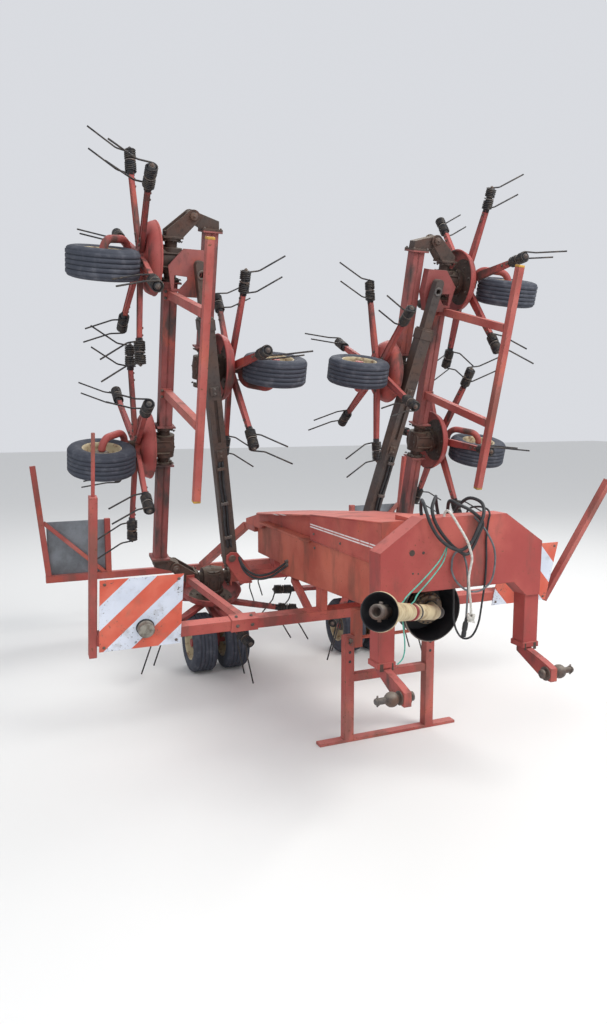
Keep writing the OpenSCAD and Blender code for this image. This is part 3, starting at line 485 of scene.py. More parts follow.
# Paint of the CAD's own solids: first by name, then by kind
NODE_PAINT = {
    "drawbar_cover": red_cover, "front_boards": board, "rear_boards": zinc, "lamps": black,
    "drawbar_box": red_box, "front_posts": bright, "stand": bright, "rear_frame": bright,
    "pto_guard": black, "pto_end_guard": black, "pto_clutch": clutch_metal, "pto_shaft": cream,
    "pto_end_yoke": bare, "link_pins": red_dark,
    "hoses": hose_black, "plug_cable": cable_grey, "tie_rope": rope_white, "centre_legs": red_dark,
}
for name, obj in nodes.items():
    if name in NODE_PAINT:
        use = NODE_PAINT[name]
    elif "gearbox" in name:
        use = grime
    elif name.startswith("strut_"):
        use = rusty
    elif name.startswith("rotor_") or "_leg" in name:
        use = red_dark
    elif name.startswith(("wing_beam", "outer_beam")):
        use = red_beam
    elif name.startswith("wing_guard"):
        use = bright
    else:
        use = red
    obj.data.materials.clear()
    obj.data.materials.append(use)


def route(points, n):
    """The same smooth line through the points as in part.scad, with n steps from one to the next."""
    pts = [Vector(p) for p in points]
    line = []
    for i in range(len(pts) - 1):
        a, b, c, d = (pts[min(max(m, 0), len(pts) - 1)] for m in range(i - 1, i + 3))
        for j in range(n):
            t = j / n
            line.append(0.5 * (2 * b + (c - a) * t + (2 * a - 5 * b + 4 * c - d) * t * t
                               + (3 * b - a - 3 * c + d) * t ** 3))
    return line + [pts[-1]]


def bead(height, radius, rise, width, n):
    """Closed profile of a rolled edge or a round ring, for Shape.revolve."""
    turns = [math.tau * j / n for j in range(n)]
    return [(height + rise * math.sin(t), radius + width * math.cos(t)) for t in turns]


def washer(low, high, inner, outer):
    """Profile of a flat ring whose bore isn't seen, for Shape.revolve."""
    return [(low, inner), (low, outer), (high, outer), (high, inner)]


# Wheels

def wheel(shape, place):
    """One wheel about Z through its centre: a ribbed tyre, a dished rim with its nuts, and a hub."""
    half = TYRE_W / 2
    tread = []
    for rib in (-48, -24, 0, 24, 48):
        tread += [(rib - 10.5, TYRE_R - 7), (rib - 9, TYRE_R - 0.5), (rib, TYRE_R),
                  (rib + 9, TYRE_R - 0.5), (rib + 10.5, TYRE_R - 7)]
    side = [(half - 16, RIM_R + 2), (half - 9, RIM_R + 8), (half - 4, 128), (half - 1, 137), (half, 150),
            (half - 3, 164), (half - 8, TYRE_R - 12), (half - 16, TYRE_R - 5)]
    tyre = [(-h, r) for h, r in side] + tread + side[::-1]
    inner = [(half - 24, RIM_R - 3), (-half + 24, RIM_R - 3)]
    shape.revolve(tyre + inner, 72, place, 0, closed=True)
    rim = [(half - 12, RIM_R + 7), (half - 9, RIM_R + 4), (half - 13, RIM_R - 3), (half - 24, RIM_R - 8),
           (20, RIM_R - 12), (14, RIM_R - 26), (8, 62), (6, 44), (10, 40)]
    back = [(-half + 12, RIM_R + 7), (-half + 9, RIM_R + 4), (-half + 13, RIM_R - 3), (-half + 24, RIM_R - 8),
            (-4, RIM_R - 12), (-2, 62), (2, 44), (2, 40)]
    shape.revolve(rim, 48, place, 1)
    shape.revolve(back, 48, place, 1)
    shape.revolve([(-48, 16.5), (-48, 34), (-44, 38), (44, 38), (48, 34), (48, 16.5)], 32, place, 2)
    for j in range(5):
        nut = place @ rot("Z", 72 * j) @ at(52, 0, 8)
        shape.bolt(nut, 10, 2)


for side, k in SIDES:
    for i in (1, 2, 3, 4):
        shape = Shape()
        axle = at_rotor(k, i) @ at(WHEEL_LEAD, 0, -WHEEL_DROP)
        if i == 1:
            for e in (-1, 1):
                wheel(shape, axle @ at(0, e * TWIN_PITCH / 2, 0) @ rot("X", -90 * e))
        else:
            wheel(shape, axle @ at(0, WHEEL_IN, 0) @ rot("X", -90))
        shape.piece(f"wheel_set_{side}_{i}", f"wheel_body_{side}_{i}", [rubber, rim_paint, bare],
                    [f"wheel_{side}_{i}"])


# Rotors

def tine(shape, place, x0, x1, x_wire):
    """One coil along X and its leg, cranked at the knee."""
    r = COIL_R - TINE_D / 2
    turns, steps = 5, 14
    start = x0 + TINE_D / 2 if x_wire > (x0 + x1) / 2 else x1 - TINE_D / 2
    path = []
    for j in range(turns * steps + 1):
        a = math.tau * (turns - j / steps)
        x = start + (x_wire - start) * j / (turns * steps)
        path.append((x, r * math.cos(a), COIL_Z + r * math.sin(a)))
    knee = Vector((x_wire + 12, r - 4, COIL_Z - 70))
    tip = Vector((x_wire + 105, COIL_R - 16, -TINE_DROP + 2))
    leg = Vector(path[-1])
    path += [leg.lerp(knee, 0.5), leg.lerp(knee, 0.9)]
    path += [knee.lerp(tip, 0.03), knee.lerp(tip, 0.1), knee.lerp(tip, 0.55), tip]
    shape.tube(path, TINE_D / 2, 7, place, 0)


DISH_OUT = [(-112, 30.5), (ARM_Z - 26, 30.5), (ARM_Z - 26, 54), (ARM_Z - 22, 58), (ARM_Z, 62), (ARM_Z, 148),
            (ARM_Z + 4, 160), (ARM_Z + 20, DISH_R - 16), (ARM_Z + 40, DISH_R - 6), (ARM_Z + 60, DISH_R)]
DISH_IN = [(ARM_Z + 62, DISH_R - 6), (ARM_Z + 44, DISH_R - 12), (ARM_Z + 26, DISH_R - 22), (ARM_Z + 14, 160),
           (ARM_Z + 8, 144), (ARM_Z + 8, 62), (ARM_Z + 14, 59), (-116, 58), (-112, 54), (-112, 30.5)]

for side, k in SIDES:
    for i in (1, 2, 3, 4):
        hub = at_rotor(k, i) @ rot("Z", phase(k, i))
        shape = Shape()
        shape.revolve(DISH_OUT, 72, hub, 3)
        shape.revolve(DISH_IN[:5], 72, hub, 3)
        shape.revolve(DISH_IN[4:], 72, hub, 4)
        # Rolled rim of the dish
        shape.revolve(bead(ARM_Z + 62, DISH_R - 4, 6, 6, 10), 72, hub, 3, closed=True)
        for a in range(0, 360, 60):
            arm = hub @ rot("Z", a)
            for e in (0, 1):
                x0 = ARM_LEN + e * (COIL_LEN / 2 + 4)
                x1 = x0 + COIL_LEN / 2 - 4
                tine(shape, arm, x0, x1, x0 + TINE_D / 2 + 1 if e == 0 else x1 - TINE_D / 2 - 1)
            core = arm @ at(ARM_LEN - 14, 0, COIL_Z) @ rot("Y", 90)
            shape.revolve([(0, 0), (0, 20), (COIL_LEN + 12, 20), (COIL_LEN + 12, 0)], 20, core, 1)
            mid = COIL_LEN / 2 + 13
            shape.revolve(washer(mid - 3.5, mid + 3.5, 19, 30), 20, core, 2, smooth=False)
            shape.bolt(core @ at(0, 0, COIL_LEN + 11), 12, 2)
            # The arm is a rolled channel: two lips stand down from its web
            droop = arm @ at(0, 0, ARM_Z) @ rot("Y", ARM_DROOP)
            half = ARM_W / 2
            web = [(56, -half), (DISH_R, -half), (ARM_LEN, -half + 7),
                   (ARM_LEN, half - 7), (DISH_R, half), (56, half)]
            shape.prism(web, -ARM_T + 2, -2, droop, 3)
            for e in (-1, 1):
                lip = [(60, e * half), (DISH_R, e * half), (ARM_LEN, e * (half - 7)),
                       (ARM_LEN, e * (half - 12)), (DISH_R, e * (half - 5)), (60, e * (half - 5))]
                shape.prism(lip, -ARM_T - 2, -ARM_T + 3, droop, 3)
            # Bolts of the arm on the dish, and the clamp at its end
            for x in (88, 128):
                shape.bolt(droop @ at(x, 0, -ARM_T + 2) @ rot("X", 180), 9, 2)
                shape.bolt(arm @ at(x, 0, ARM_Z + 8), 8, 2)
            for x in (ARM_LEN - 70, ARM_LEN - 30):
                shape.bolt(droop @ at(x, 0, -2), 8, 2)
        shape.piece(f"rotor_set_{side}_{i}", f"rotor_body_{side}_{i}",
                    [tine_steel, black, bare, red_dark, grime], [f"rotor_{side}_{i}"])


# Bolts and castings of the gear housings

for side, k in SIDES:
    for i, body in ((1, "chassis"), (2, f"wing_{side}"), (3, f"wing_{side}"), (4, f"outer_{side}")):
        place = at_rotor(k, i)
        shape = Shape()
        for e in (-1, 1):
            for a in range(45, 405, 90):
                shape.bolt(place @ rot("X", -90 * e) @ rot("Z", a) @ at(66, 0, 104) @ rot("X", 180), 8, 1)
            for a in range(0, 360, 60):
                shape.bolt(place @ rot("X", -90 * e) @ rot("Z", a) @ at(46, 0, 99.8) @ rot("X", 180), 6, 1)
        for a in range(0, 360, 45):
            shape.bolt(place @ rot("Z", a + 22.5) @ at(74, 0, -80), 7, 1)
        for a in range(0, 360, 60):
            shape.bolt(place @ rot("Z", a) @ at(48, 0, 52), 6, 1)
        # Ribs down the housing
        for a in range(30, 390, 60):
            shape.block((58, -4, -80), (78, 4, 26), place @ rot("Z", a), 0)
        shape.revolve([(52, 18), (60, 18), (62, 14), (62, 0)], 24, place, 0)
        shape.piece(f"housing_trim_{side}_{i}", body, [grime, bare])


# Hinge pins and flange bolts of the hinge castings

for side, k in SIDES:
    wing, outer = f"wing_{side}", f"outer_{side}"
    for section, hinge, pin_body, body in ((2, WING_HINGE, "chassis", wing), (4, OUTER_HINGE, wing, outer)):
        place = leaning(k, section)
        shape = Shape()
        for x, turn in ((-BEAM_W / 2 - 20, -90), (BEAM_W / 2 + 20, 90)):
            head = place @ at(ROTOR_U + x, hinge[0], hinge[1]) @ rot("Y", turn)
            shape.revolve([(-8, 22), (0, 22), (3, 19), (3, 0)], 24, head, 0)
            shape.revolve([(3, 7), (9, 6), (11, 3), (11, 0)], 12, head, 0)
        shape.piece(f"hinge_pin_trim_{side}_{section}", pin_body, [bare])
        shape = Shape()
        flange = place @ at(ROTOR_U, hinge[0] + 66, BEAM_H) @ rot("X", 90)
        for a in (45, 135, 225, 315):
            shape.bolt(flange @ rot("Z", a) @ at(66, 0, 10.5), 8, 0)
        shape.piece(f"hinge_trim_{side}_{section}", body, [bare])

# Fold struts: pins, latch plates over the slot, the collar at the mouth, hoses and the bush of the eye

for side, k in SIDES:
    foot = Vector((FOOT_S, BEAM_H + FOOT_UP))
    eye = turned(WING_HINGE, WING_FOLD) @ Vector((0, EYE_S, BEAM_H + EYE_UP))
    run = Vector((eye.y, eye.z)) - foot
    along = leaning(k) @ at(STRUT_U0 + STRUT_W / 2, *foot) @ rot("X", math.degrees(math.atan2(run.y, run.x)))
    shape = Shape()
    for x, turn in ((-STRUT_W / 2 - 16.5, -90), (STRUT_W / 2 + 16.5, 90)):
        head = along @ at(x, 0, 0) @ rot("Y", turn)
        shape.revolve([(0, 24), (4, 24), (6, 21), (6, 0)], 24, head, 1)
    shape.piece(f"strut_foot_trim_{side}", "chassis", [rusty, bare])
    shape = Shape()
    # Latch plates over the slot with their bolts, then the collar
    for y in (700, 1085):
        shape.block((STRUT_W / 2, y - 26, -26), (STRUT_W / 2 + 9, y + 26, 26), along, 0, 2)
        for dy in (-14, 14):
            shape.bolt(along @ at(STRUT_W / 2 + 9, y + dy, 0) @ rot("Y", 90), 8, 1)
    for e in (-1, 1):
        shape.block((-STRUT_W / 2 - 5, 1430, e * STRUT_W / 2 - (5 if e < 0 else 0)),
                    (STRUT_W / 2 + 5, 1490, e * STRUT_W / 2 + (5 if e > 0 else 0)), along, 0, 2)
        shape.block((e * STRUT_W / 2 - (5 if e < 0 else 0), 1430, -STRUT_W / 2 - 5),
                    (e * STRUT_W / 2 + (5 if e > 0 else 0), 1490, STRUT_W / 2 + 5), along, 0, 2)
    # Two hoses clipped to the channel
    for z in (-20, 0):
        path = [(STRUT_W / 2 + 8.6 + 1.2 * math.sin(0.013 * y + z), y, z + 3 * math.sin(0.021 * y))
                for y in range(78, 670, 24)]
        shape.tube(path, HOSE_R, 10, along, 2)
    for y in (150, 380, 610):
        shape.block((STRUT_W / 2, y - 10, -34), (STRUT_W / 2 + 18, y + 10, 14), along, 1, 2)
    shape.piece(f"strut_trim_{side}", f"strut_{side}", [rusty, bare, hose_black])
    shape = Shape()
    # Bush in the eye of the rod
    head = along @ at(ROD_W / 2 + 0.3, run.length, 0) @ rot("Y", 90)
    shape.revolve([(0, 27), (4, 27), (5.5, 24), (5.5, 15.5), (0, 15.5)], 28, head, 1)
    shape.piece(f"rod_trim_{side}", f"rod_{side}", [rusty, bare])

# Hoses that hang by the struts' feet and end on the sides of the drawbar

for side, k in SIDES:
    shape = Shape()
    for drop in (0, 22):
        path = ((238, 452, 792 - drop / 2), (270, 436, 742 - drop), (298, 404, 702 - drop),
                (328, 352, 682 - drop), (368, 286, 700 - drop), (408, 238, 744 - drop),
                (430, 201, 778 - drop))
        shape.tube(route(path, 5), HOSE_R, 10, upright(k), 0)
        fitting = upright(k) @ at(430, 200, 778 - drop) @ rot("X", -90)
        shape.revolve([(-2, 12), (12, 12), (12, 9), (20, 8)], 6, fitting, 1)
    shape.piece(f"feed_hoses_{side}", "chassis", [hose_black, bare])

# Wing guards: end caps and clamp bolts

for side, k in SIDES:
    shape = Shape()
    place = leaning(k, 2)
    for y0, y1 in ((1519, 1533), (2827, 2841)):
        shape.block((BAR_U - 20, y0, BEAM_H - 20), (BAR_U + 20, y1, BEAM_H + 20), place, 0, 3)
    for y in (1930, PLATE_S):
        low = (ROTOR_U + BEAM_W / 2 + 0.5, y - 30, BEAM_H - 40)
        high = (ROTOR_U + BEAM_W / 2 + 9, y + 30, BEAM_H + 24)
        shape.block(low, high, place, 1, 1)
        for dy in (-18, 18):
            shape.bolt(place @ at(high[0], y + dy, BEAM_H - 31) @ rot("Y", 90), 8, 2)
    shape.piece(f"guard_trim_{side}", f"wing_{side}", [yellow, bright, bare])

# Lower link pins: cheek, pin, washers, ball and linchpin

shape = Shape()
for side, k in SIDES:
    place = upright(k)
    cheek = [(YOKE_X + 20, -609.7), (YOKE_X + 76, -609.7), (LINK_X - 30, -LINK_Z - 50),
             (LINK_X + 34, -LINK_Z - 30), (LINK_X + 34, -LINK_Z + 30), (LINK_X - 34, -LINK_Z + 26),
             (YOKE_X + 20, -580)]
    shape.prism(cheek, LINK_Y - 75, LINK_Y - 40, place @ rot("X", -90), 0)
    pin = place @ at(LINK_X, 0, LINK_Z) @ rot("X", -90)
    tip = LINK_Y + BALL_R + 45
    shape.revolve([(LINK_Y - 100, 0), (LINK_Y - 100, 20), (LINK_Y - 88, 20), (LINK_Y - 88, LINK_PIN_R),
                   (tip - 4, LINK_PIN_R), (tip, 11), (tip, 0)], 32, pin, 1)
    shape.revolve(washer(LINK_Y - 80, LINK_Y - 75.5, LINK_PIN_R, 32), 32, pin, 1, smooth=False)
    shape.revolve(washer(LINK_Y - 39.5, LINK_Y - 34, LINK_PIN_R, 30), 32, pin, 1, smooth=False)
    ball = [(LINK_Y + BALL_R * math.cos(t), BALL_R * math.sin(t))
            for t in [math.pi * j / 16 for j in range(3, 14)]]
    shape.revolve([(LINK_Y + 30, LINK_PIN_R)] + ball + [(LINK_Y - 30, LINK_PIN_R)], 36, pin, 1)
    ring = [(LINK_X + 16 * math.cos(t), tip - 12 + 2 * math.sin(2 * t), LINK_Z + 16 * math.sin(t))
            for t in [math.tau * j / 20 for j in range(21)]]
    shape.tube(ring, 2.2, 6, place, 1)
    shape.tube([(LINK_X, tip - 12, LINK_Z + 24), (LINK_X, tip - 12, LINK_Z - 22)], 4, 8, place, 1)
shape.piece("link_pin_set", "headstock", [red_dark, bare], ["link_pins"])

# Drive shaft: joint, guard tube, rings, corrugated cone and the end bell with its yoke

axis = (SHAFT_TO - SHAFT_FROM).normalized()
shaft = upright() @ Matrix.Translation(SHAFT_FROM) @ axis.to_track_quat("Z", "Y").to_matrix().to_4x4()
reach = (SHAFT_TO - SHAFT_FROM).length
shape = Shape()
shape.revolve([(-30, 0), (-26, 15), (-15, 26), (0, 30), (14, 26.5), (14, 24), (90, 24)], 36, shaft, 2)
shape.revolve([(84, 26), (84, 33), (90, 34), (424, 34), (426, 32), (426, 26)], 40, shaft, 0)
shape.revolve([(424, 30), (426, 37), (444, 37), (446, 30)], 40, shaft, 1)
shape.revolve([(446, 30), (448, 36), (486, 36), (488, 32)], 40, shaft, 0)
shape.revolve([(486, 30), (488, 36.6), (512, 36.6), (514, 30)], 40, shaft, 3)
cone = [(512, 31)]
for j in range(7):
    d = 520 + j * 38
    r = 31 + j * 0.6
    cone += [(d, r), (d + 8, r + 3.6), (d + 24, r + 3.6), (d + 32, r)]
shape.revolve(cone + [(790, 35), (reach - 4, 36), (reach, 36), (reach, 24)], 40, shaft, 0)
shape.piece("shaft_set", "headstock", [cream, black, bare, red_ring], ["pto_shaft"])
shape = Shape()
d = reach + 0.3
shape.revolve([(d, 10), (d, 45), (d + 8, 47), (d + 104, 70.5), (d + 108, 72), (d + 110, 71.5)], 56, shaft, 0)
shape.revolve([(d + 110, 71.5), (d + 110, 69), (d + 104, 67), (d + 6, 41), (d + 6, 10)], 56, shaft, 1)
shape.revolve(bead(d + 100, 70.5, 4, 3, 10), 56, shaft, 0, closed=True)
shape.piece("end_bell", "headstock", [cream, black], ["pto_end_guard"])
shape = Shape()
d = reach + 6.5
shape.revolve([(d, 0), (d, 21), (d + 24, 22), (d + 30, 19), (d + 48, 19), (d + 52, 27), (d + 60, 28),
               (d + 112, 28), (d + 116, 26), (d + 122, 26), (d + 126, 28), (d + 136, 28), (d + 140, 26),
               (d + 140, 17.5), (d + 70, 17.5), (d + 70, 0)], 36, shaft, 0)
for a in (0, 180):
    shape.block((-9, 15, 14), (9, 27, 62), shaft @ at(0, 0, d) @ rot("Z", a), 0, 3)
    knob = shaft @ at(0, 0, d + 92) @ rot("Z", a + 90) @ at(26, 0, 0) @ rot("Y", 90)
    shape.revolve([(0, 0), (0, 8), (9, 8), (11, 5), (11, 0)], 16, knob, 0)
shape.piece("end_yoke", "headstock", [bare], ["pto_end_yoke"])

# Slip clutch in its bell, on the input shaft

clutch = upright() @ at(DRAWBAR_FRONT + 5.6, 0, PTO_Z) @ rot("Y", 90)
shape = Shape()
shape.revolve([(0, 0), (0, 40), (30, 40), (30, 76), (33, 78), (46, 78), (48, 73), (56, 73), (58, 78),
               (86, 78), (89, 75), (89, 64), (92, 66), (98, 66), (100, 63), (100, 46), (96, 44), (96, 34)],
              64, clutch, 0)
# Black plates on the disc face are painted shade that stands in for the slots through it
for a in range(0, 360, 20):
    shape.block((66.5, -5.5, 89), (74.5, 5.5, 90.4), clutch @ rot("Z", a), 3, 0.5)
for a in range(0, 360, 45):
    shape.revolve([(98, 8), (104, 8), (106, 6.5), (106, 0)], 6, clutch @ rot("Z", a) @ at(56, 0, 0), 1,
                  smooth=False)
shape.revolve([(94, 36), (98, 34), (134, 30), (145.5, 30), (145.5, 0)], 40, clutch, 2)
shape.revolve(washer(104, 112, 37, 41), 40, clutch, 3, smooth=False)
shape.piece("clutch_set", "chassis", [clutch_metal, bare, cream, black], ["pto_clutch"])
shape = Shape()
bell = upright() @ at(DRAWBAR_FRONT + 0.3, 0, PTO_Z) @ rot("Y", 90)
shape.revolve(bead(131, 151, 3.2, 3.2, 8), 72, bell, 0, closed=True)
shape.piece("bell_rim", "chassis", [bell_edge])

# Hoses, cables and rope over the yoke, in millimetres above the ground and forward of the wheel line

HOSE_ROUTES = (
    ((HOSE_X, -62, HOSE_Z + 1), (HOSE_X, -62, 1205), (1896, -80, 1268), (1925, -108, 1322),
     (1975, -142, 1334), (2006, -178, 1290), (2020, -169, 1233), (2026, -131, 1174), (2032, -77, 1119),
     (2034, -16, 1086), (2030, 21, 1119), (2026, 50, 1169), (2022, 72, 1219), (2014, 20, 1270),
     (1985, -34, 1300), (1938, -44, 1310), (1897, -26, 1264), (HOSE_X, -22, 1205), (HOSE_X, -22, HOSE_Z + 1)),
    ((HOSE_X, -150, HOSE_Z + 1), (HOSE_X, -150, 1205), (1896, -164, 1268), (1930, -184, 1318),
     (1990, -210, 1312), (2024, -212, 1268), (2036, -198, 1222), (2048, -167, 1170), (2054, -115, 1128),
     (2056, -60, 1112), (2056, -10, 1140), (2052, 26, 1196), (2044, 60, 1258), (2004, 76, 1304),
     (1942, 50, 1318), (1897, 20, 1266), (HOSE_X, 14, 1205), (HOSE_X, 14, HOSE_Z + 1)),
)
LOOP_CABLE = ((HOSE_X, 62, HOSE_Z + 1), (HOSE_X, 64, 1205), (1896, 88, 1262), (1930, 116, 1276),
              (1985, 122, 1270), (2009, 118, 1250), (2009, 112, 1220), (2006, 106, 1140), (2006, 110, 1050),
              (2006, 106, 950), (2007, 92, 850), (2002, 80, 760), (1980, 60, 696), (1938, 36, 684),
              (1898, 24, 740), (HOSE_X, 20, 860), (HOSE_X, 18, 989))
PLUG_CABLE = ((2005, 41, 1242), (2006, 70, 1214), (2019, 97, 1176), (2022, 138, 1100), (2022, 144, 1021),
              (2022, 124, 950), (2018, 70, 914), (2014, 6, 920), (2012, -49, 964), (2010, -73, 1012),
              (2009, -73, 1042), (2009, -70, 1069), (2010, -55, 1093), (2013, -29, 1093), (2018, -14, 1069),
              (2028, -9, 1030), (2036, -7, 970), (2034, -5, 900), (2032, -6, 830), (2031, -8, 783))
TIE_ROPE = ((1986, -103, 1249.3), (1988, -103, 1262), (2006, -104, 1278), (2036, -103, 1270),
            (2066, -84, 1222), (2076, -47, 1159), (2076, -27, 1113), (2072, -14, 1070), (2064, -22, 983),
            (2064, -7, 865), (2064, -5, 825))
ROPE_LAY, STRAND_OUT, STRAND_R = 42, 2.9, 3.1

shape = Shape()
for points in HOSE_ROUTES:
    shape.tube(route(points, 6), HOSE_R, 14, upright(), 0)
    for end in (points[0], points[-1]):
        shape.revolve([(0, 11), (4, 11), (4, 9.6), (30, 9.6), (33, 8.6), (33, 7)], 6, upright() @ at(*end), 1)
shape.tube(route(LOOP_CABLE, 6), CABLE_R, 12, upright(), 0)
shape.piece("hose_set", "headstock", [hose_black, bare], ["hoses"])

shape = Shape()
line = route(PLUG_CABLE, 6)
shape.tube(line, CABLE_R, 12, upright(), 0)
cable = shape.piece("plug_cable_tube", "headstock", [cable_grey], ["plug_cable"])
shape = Shape()
plug_top = Vector((2031, -8, 784))
down = Vector((2030, -18, 718)) - plug_top
plug = upright() @ Matrix.Translation(plug_top) @ down.to_track_quat("Z", "Y").to_matrix().to_4x4()
shape.revolve([(-26, 4.6), (-25, 6), (-4, 7.5), (0, 9), (4, 11), (38, 11), (40, 10), (44, 10), (46, 11),
               (60, 11), (64, 10.4), (66.5, 10.4), (66.5, 8.6), (54, 8.2), (54, 0)], 28, plug, 0)
for a in range(0, 360, 30):
    shape.block((10.4, -1, 8), (11.6, 1, 34), plug @ rot("Z", a), 0, 0.3)
plug_piece = shape.piece("plug", "headstock", [black])

shape = Shape()
line = route(TIE_ROPE, 8)
# A core and three strands laid round it
shape.tube(line, 5.2, 12, upright(), 0)
turn, frame_side, strands = 0.0, None, [[], [], []]
for a, p in enumerate(line):
    d = (line[min(a + 1, len(line) - 1)] - line[max(a - 1, 0)]).normalized()
    if frame_side is None:
        frame_side = d.cross(Vector((0.31, 0.52, 0.79))).normalized()
    frame_side = (frame_side - d * frame_side.dot(d)).normalized()
    across = d.cross(frame_side)
    if a:
        turn += (p - line[a - 1]).length / ROPE_LAY * math.tau
    for j in range(3):
        w = turn + math.tau * j / 3
        strands[j].append(p + (frame_side * math.cos(w) + across * math.sin(w)) * STRAND_OUT)
for strand in strands:
    shape.tube(strand, STRAND_R, 8, upright(), 0)
rope = shape.piece("tie_rope_tube", "headstock", [rope_white], ["tie_rope"])
# The knot at its end: three turns, and frayed fibres above and below
shape = Shape()
random.seed(7)
knot = Vector((2064, -5, 812))
for j in range(3):
    ring = [(knot.x + (11 + 2 * j) * math.cos(t + j), knot.y + 12 * math.sin(t + j),
             knot.z + 6 * math.sin(2 * t + 2 * j) + 7 * (j - 1))
            for t in [math.tau * n / 18 for n in range(19)]]
    shape.tube(ring, 5.4, 8, upright(), 0)
for j in range(34):
    a, r, way = random.uniform(0, math.tau), random.uniform(3, 15), 1 if j % 4 == 0 else -1
    top = knot + Vector((r * math.cos(a) * 0.6, r * math.sin(a) * 0.6, way * 4))
    tip = knot + Vector((r * math.cos(a) * 1.4, r * math.sin(a) * 1.4, way * random.uniform(12, 26)))
    middle = top.lerp(tip, 0.5) + Vector((random.uniform(-4, 4), random.uniform(-4, 4), 0))
    shape.tube([top, middle, tip], 1.2, 5, upright(), 0)
knot_piece = shape.piece("rope_knot", "headstock", [rope_white])

# Dark discs and strips painted on the yoke and its legs as the shade in its dents, holes and hollows, and the
# washers and nut of the swivel

shape = Shape()
# Dark discs painted as the shade in small holes and dents of the yoke
for y, z, r in ((-118, 1104, 14), (-62, 1101, 7), (-112, 1015, 5), (-86, 1012, 4)):
    dent = upright() @ at(YOKE_X + YOKE_D, y - 150, z) @ rot("Y", 90)
    shape.revolve([(0.4, r), (0.9, r * 0.9), (0.9, 0)], 14, dent, 1)
# Dark strips painted as the shade in the hollows of the legs
for side, k in SIDES:
    shape.block((YOKE_X + 90, 348, 600), (YOKE_X + 92.6, 356, 633), upright(k), 1, 0.5)
    shape.block((YOKE_X + 90, 397, 600), (YOKE_X + 92.6, 414, 633), upright(k), 1, 0.5)
shape.piece("yoke_painted_shade", "headstock", [red, grime])
shape = Shape()
shape.revolve([(0, 24), (0, 34), (8, 34), (11, 30), (11, 0)], 28, upright() @ at(SWIVEL_X, 0, 1203), 0)
shape.bolt(upright() @ at(SWIVEL_X, 0, 1214), 14, 0)
shape.revolve([(0, 0), (0, 26), (6, 30), (8, 30), (8, 20)], 28, upright() @ at(SWIVEL_X, 0, 938), 0)
shape.piece("swivel_trim", "chassis", [bare])

# Teal strings that hold the shaft up, with a loose end

shape = Shape()
string_top = (2006, -96, 1127)
STRINGS = (
    (string_top, (2060, -170, 1075), (2130, -290, 1020), (2196, -406, 976), (2203, -430, 955),
     (2205, -460, 938)),
    (string_top, (2045, -140, 1068), (2100, -235, 1012), (2150, -330, 965), (2163, -352, 944),
     (2160, -372, 926)),
    ((2186, -420, 880), (2200, -424, 850), (2201, -418, 800), (2200, -416, 757), (2198, -424, 722),
     (2196, -446, 700)),
)
for path in STRINGS:
    shape.tube(route(path, 5), 3, 8, upright(), 0)
shape.piece("teal_strings", "headstock", [twine])

# Bolts of the striped boards and the guard sleeves, and the lamps

shape = Shape()
for side, k in SIDES:
    place = leaning(k)
    for dy in (-BOARD_W / 2 + 24, BOARD_W / 2 - 24):
        for dz in (24, BOARD_H - 24):
            shape.bolt(place @ at(GUARD_U + 34.3, BOARD_Y + dy, BOARD_FOOT + dz) @ rot("Y", 90), 7, 0)
    for y in (600, 685):
        shape.bolt(place @ at(GUARD_U + 36, y, GUARD_W) @ rot("Y", 90), 9, 0)
        shape.bolt(place @ at(GUARD_U, y, GUARD_W + 36), 9, 0)
    # Lens of the lamp and the ring behind it
    lamp_at = place @ at(GUARD_U + 34.6, BOARD_Y - 20, BOARD_Z + 90) @ rot("Y", 90)
    shape.revolve([(10, 42.5), (38, 42.5), (43, 40), (46, 30), (47, 0)], 32, lamp_at, 1)
    shape.revolve([(-0.3, 47), (6, 47), (8, 44), (8, 40)], 32, lamp_at, 2)
shape.piece("board_trim", "chassis", [bare, lens, black])

# Stand: caps, black discs painted as the shade in the holes of the height setting, pins with their clips, and
# plates at the posts' feet

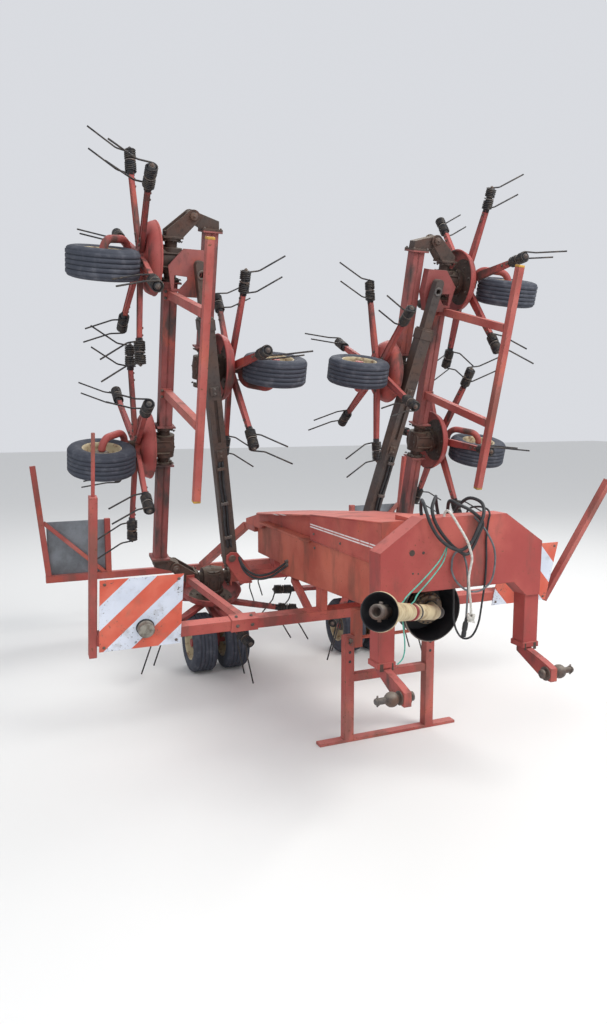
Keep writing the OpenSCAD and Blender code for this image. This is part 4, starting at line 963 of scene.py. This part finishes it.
shape = Shape()
for e in (-1, 1):
    post = upright() @ at(STAND_X, e * 240, 0)
    shape.block((-26, -26, 556), (26, 26, 563), post, 1, 2)
    # Black discs: painted shade in the holes of the height setting
    for z in (430, 480, 530):
        shape.revolve([(0.3, 8), (0.8, 7.5), (0.8, 0)], 14, post @ at(25, 0, z) @ rot("Y", 90), 2)
    shape.revolve([(0, 9), (16, 9), (18, 7), (18, 0)], 16, post @ at(25, 0, 545) @ rot("Y", 90), 0)
    shape.tube([(34, 0, 545), (36, 12, 535), (35, 8, 518), (32, -6, 520), (34, 0, 545)], 1.8, 6, post, 0)
    shape.block((-20, -6 if e > 0 else -32, 14), (20, 32 if e > 0 else 6, 20), post, 1, 1)
shape.piece("stand_trim", "stand", [bare, bright, black])

# Rolled edges of the drawbar cover, and bolts on the sides of the drawbar

shape = Shape()
for side, k in SIDES:
    place = upright(k)
    shape.tube([(788, 206.5, 1112), (1200, 206.5, 1145), (1617, 206.5, 1178)], 4.5, 8, place, 0)
    shape.tube([(788, 206.5, 968), (1200, 206.5, 968), (1617, 206.5, 968)], 3, 8, place, 0)
    for x, z in ((840, 930), (1560, 930), (840, 1010), (1570, 1010), (1180, 1010)):
        shape.bolt(place @ at(x, 200 if z < 960 else 206, z) @ rot("X", -90), 7, 1)
shape.piece("drawbar_trim", "chassis", [red_cover, bare])

# Floor and light

bpy.ops.mesh.primitive_plane_add(size=60, location=(0, 0, -0.0005))
obj = bpy.context.object
obj.name = "floor"
n = Nodes("floor_paint", 0.9)
n.finish(lin(226, 226, 224))
n.bsdf.inputs["Specular IOR Level"].default_value = 0.1
obj.data.materials.append(n.mat)
world = bpy.data.worlds.new("studio")
bpy.context.scene.world = world
world.use_nodes = True
background = world.node_tree.nodes["Background"]
background.inputs[0].default_value = (0.93, 0.95, 1.0, 1)
background.inputs[1].default_value = 0.75


def lamp(name, energy, size, location, target=(0, 0, 1.2), colour=(1, 1, 1)):
    data = bpy.data.lights.new(name, "AREA")
    data.energy, data.size, data.color = energy, size, colour
    obj = bpy.data.objects.new(name, data)
    obj.location = location
    obj.rotation_euler = (Vector(target) - Vector(location)).to_track_quat("-Z", "Y").to_euler()
    bpy.context.scene.collection.objects.link(obj)


lamp("key", 420, 4.0, (3.5, 3.0, 6.5), colour=(1.0, 0.98, 0.95))
lamp("fill", 150, 5.0, (5.0, -5.0, 4.0), colour=(0.94, 0.97, 1.0))
lamp("rim", 160, 4.0, (-5.0, 2.5, 5.5))

bpy.context.scene.view_settings.view_transform = "Standard"
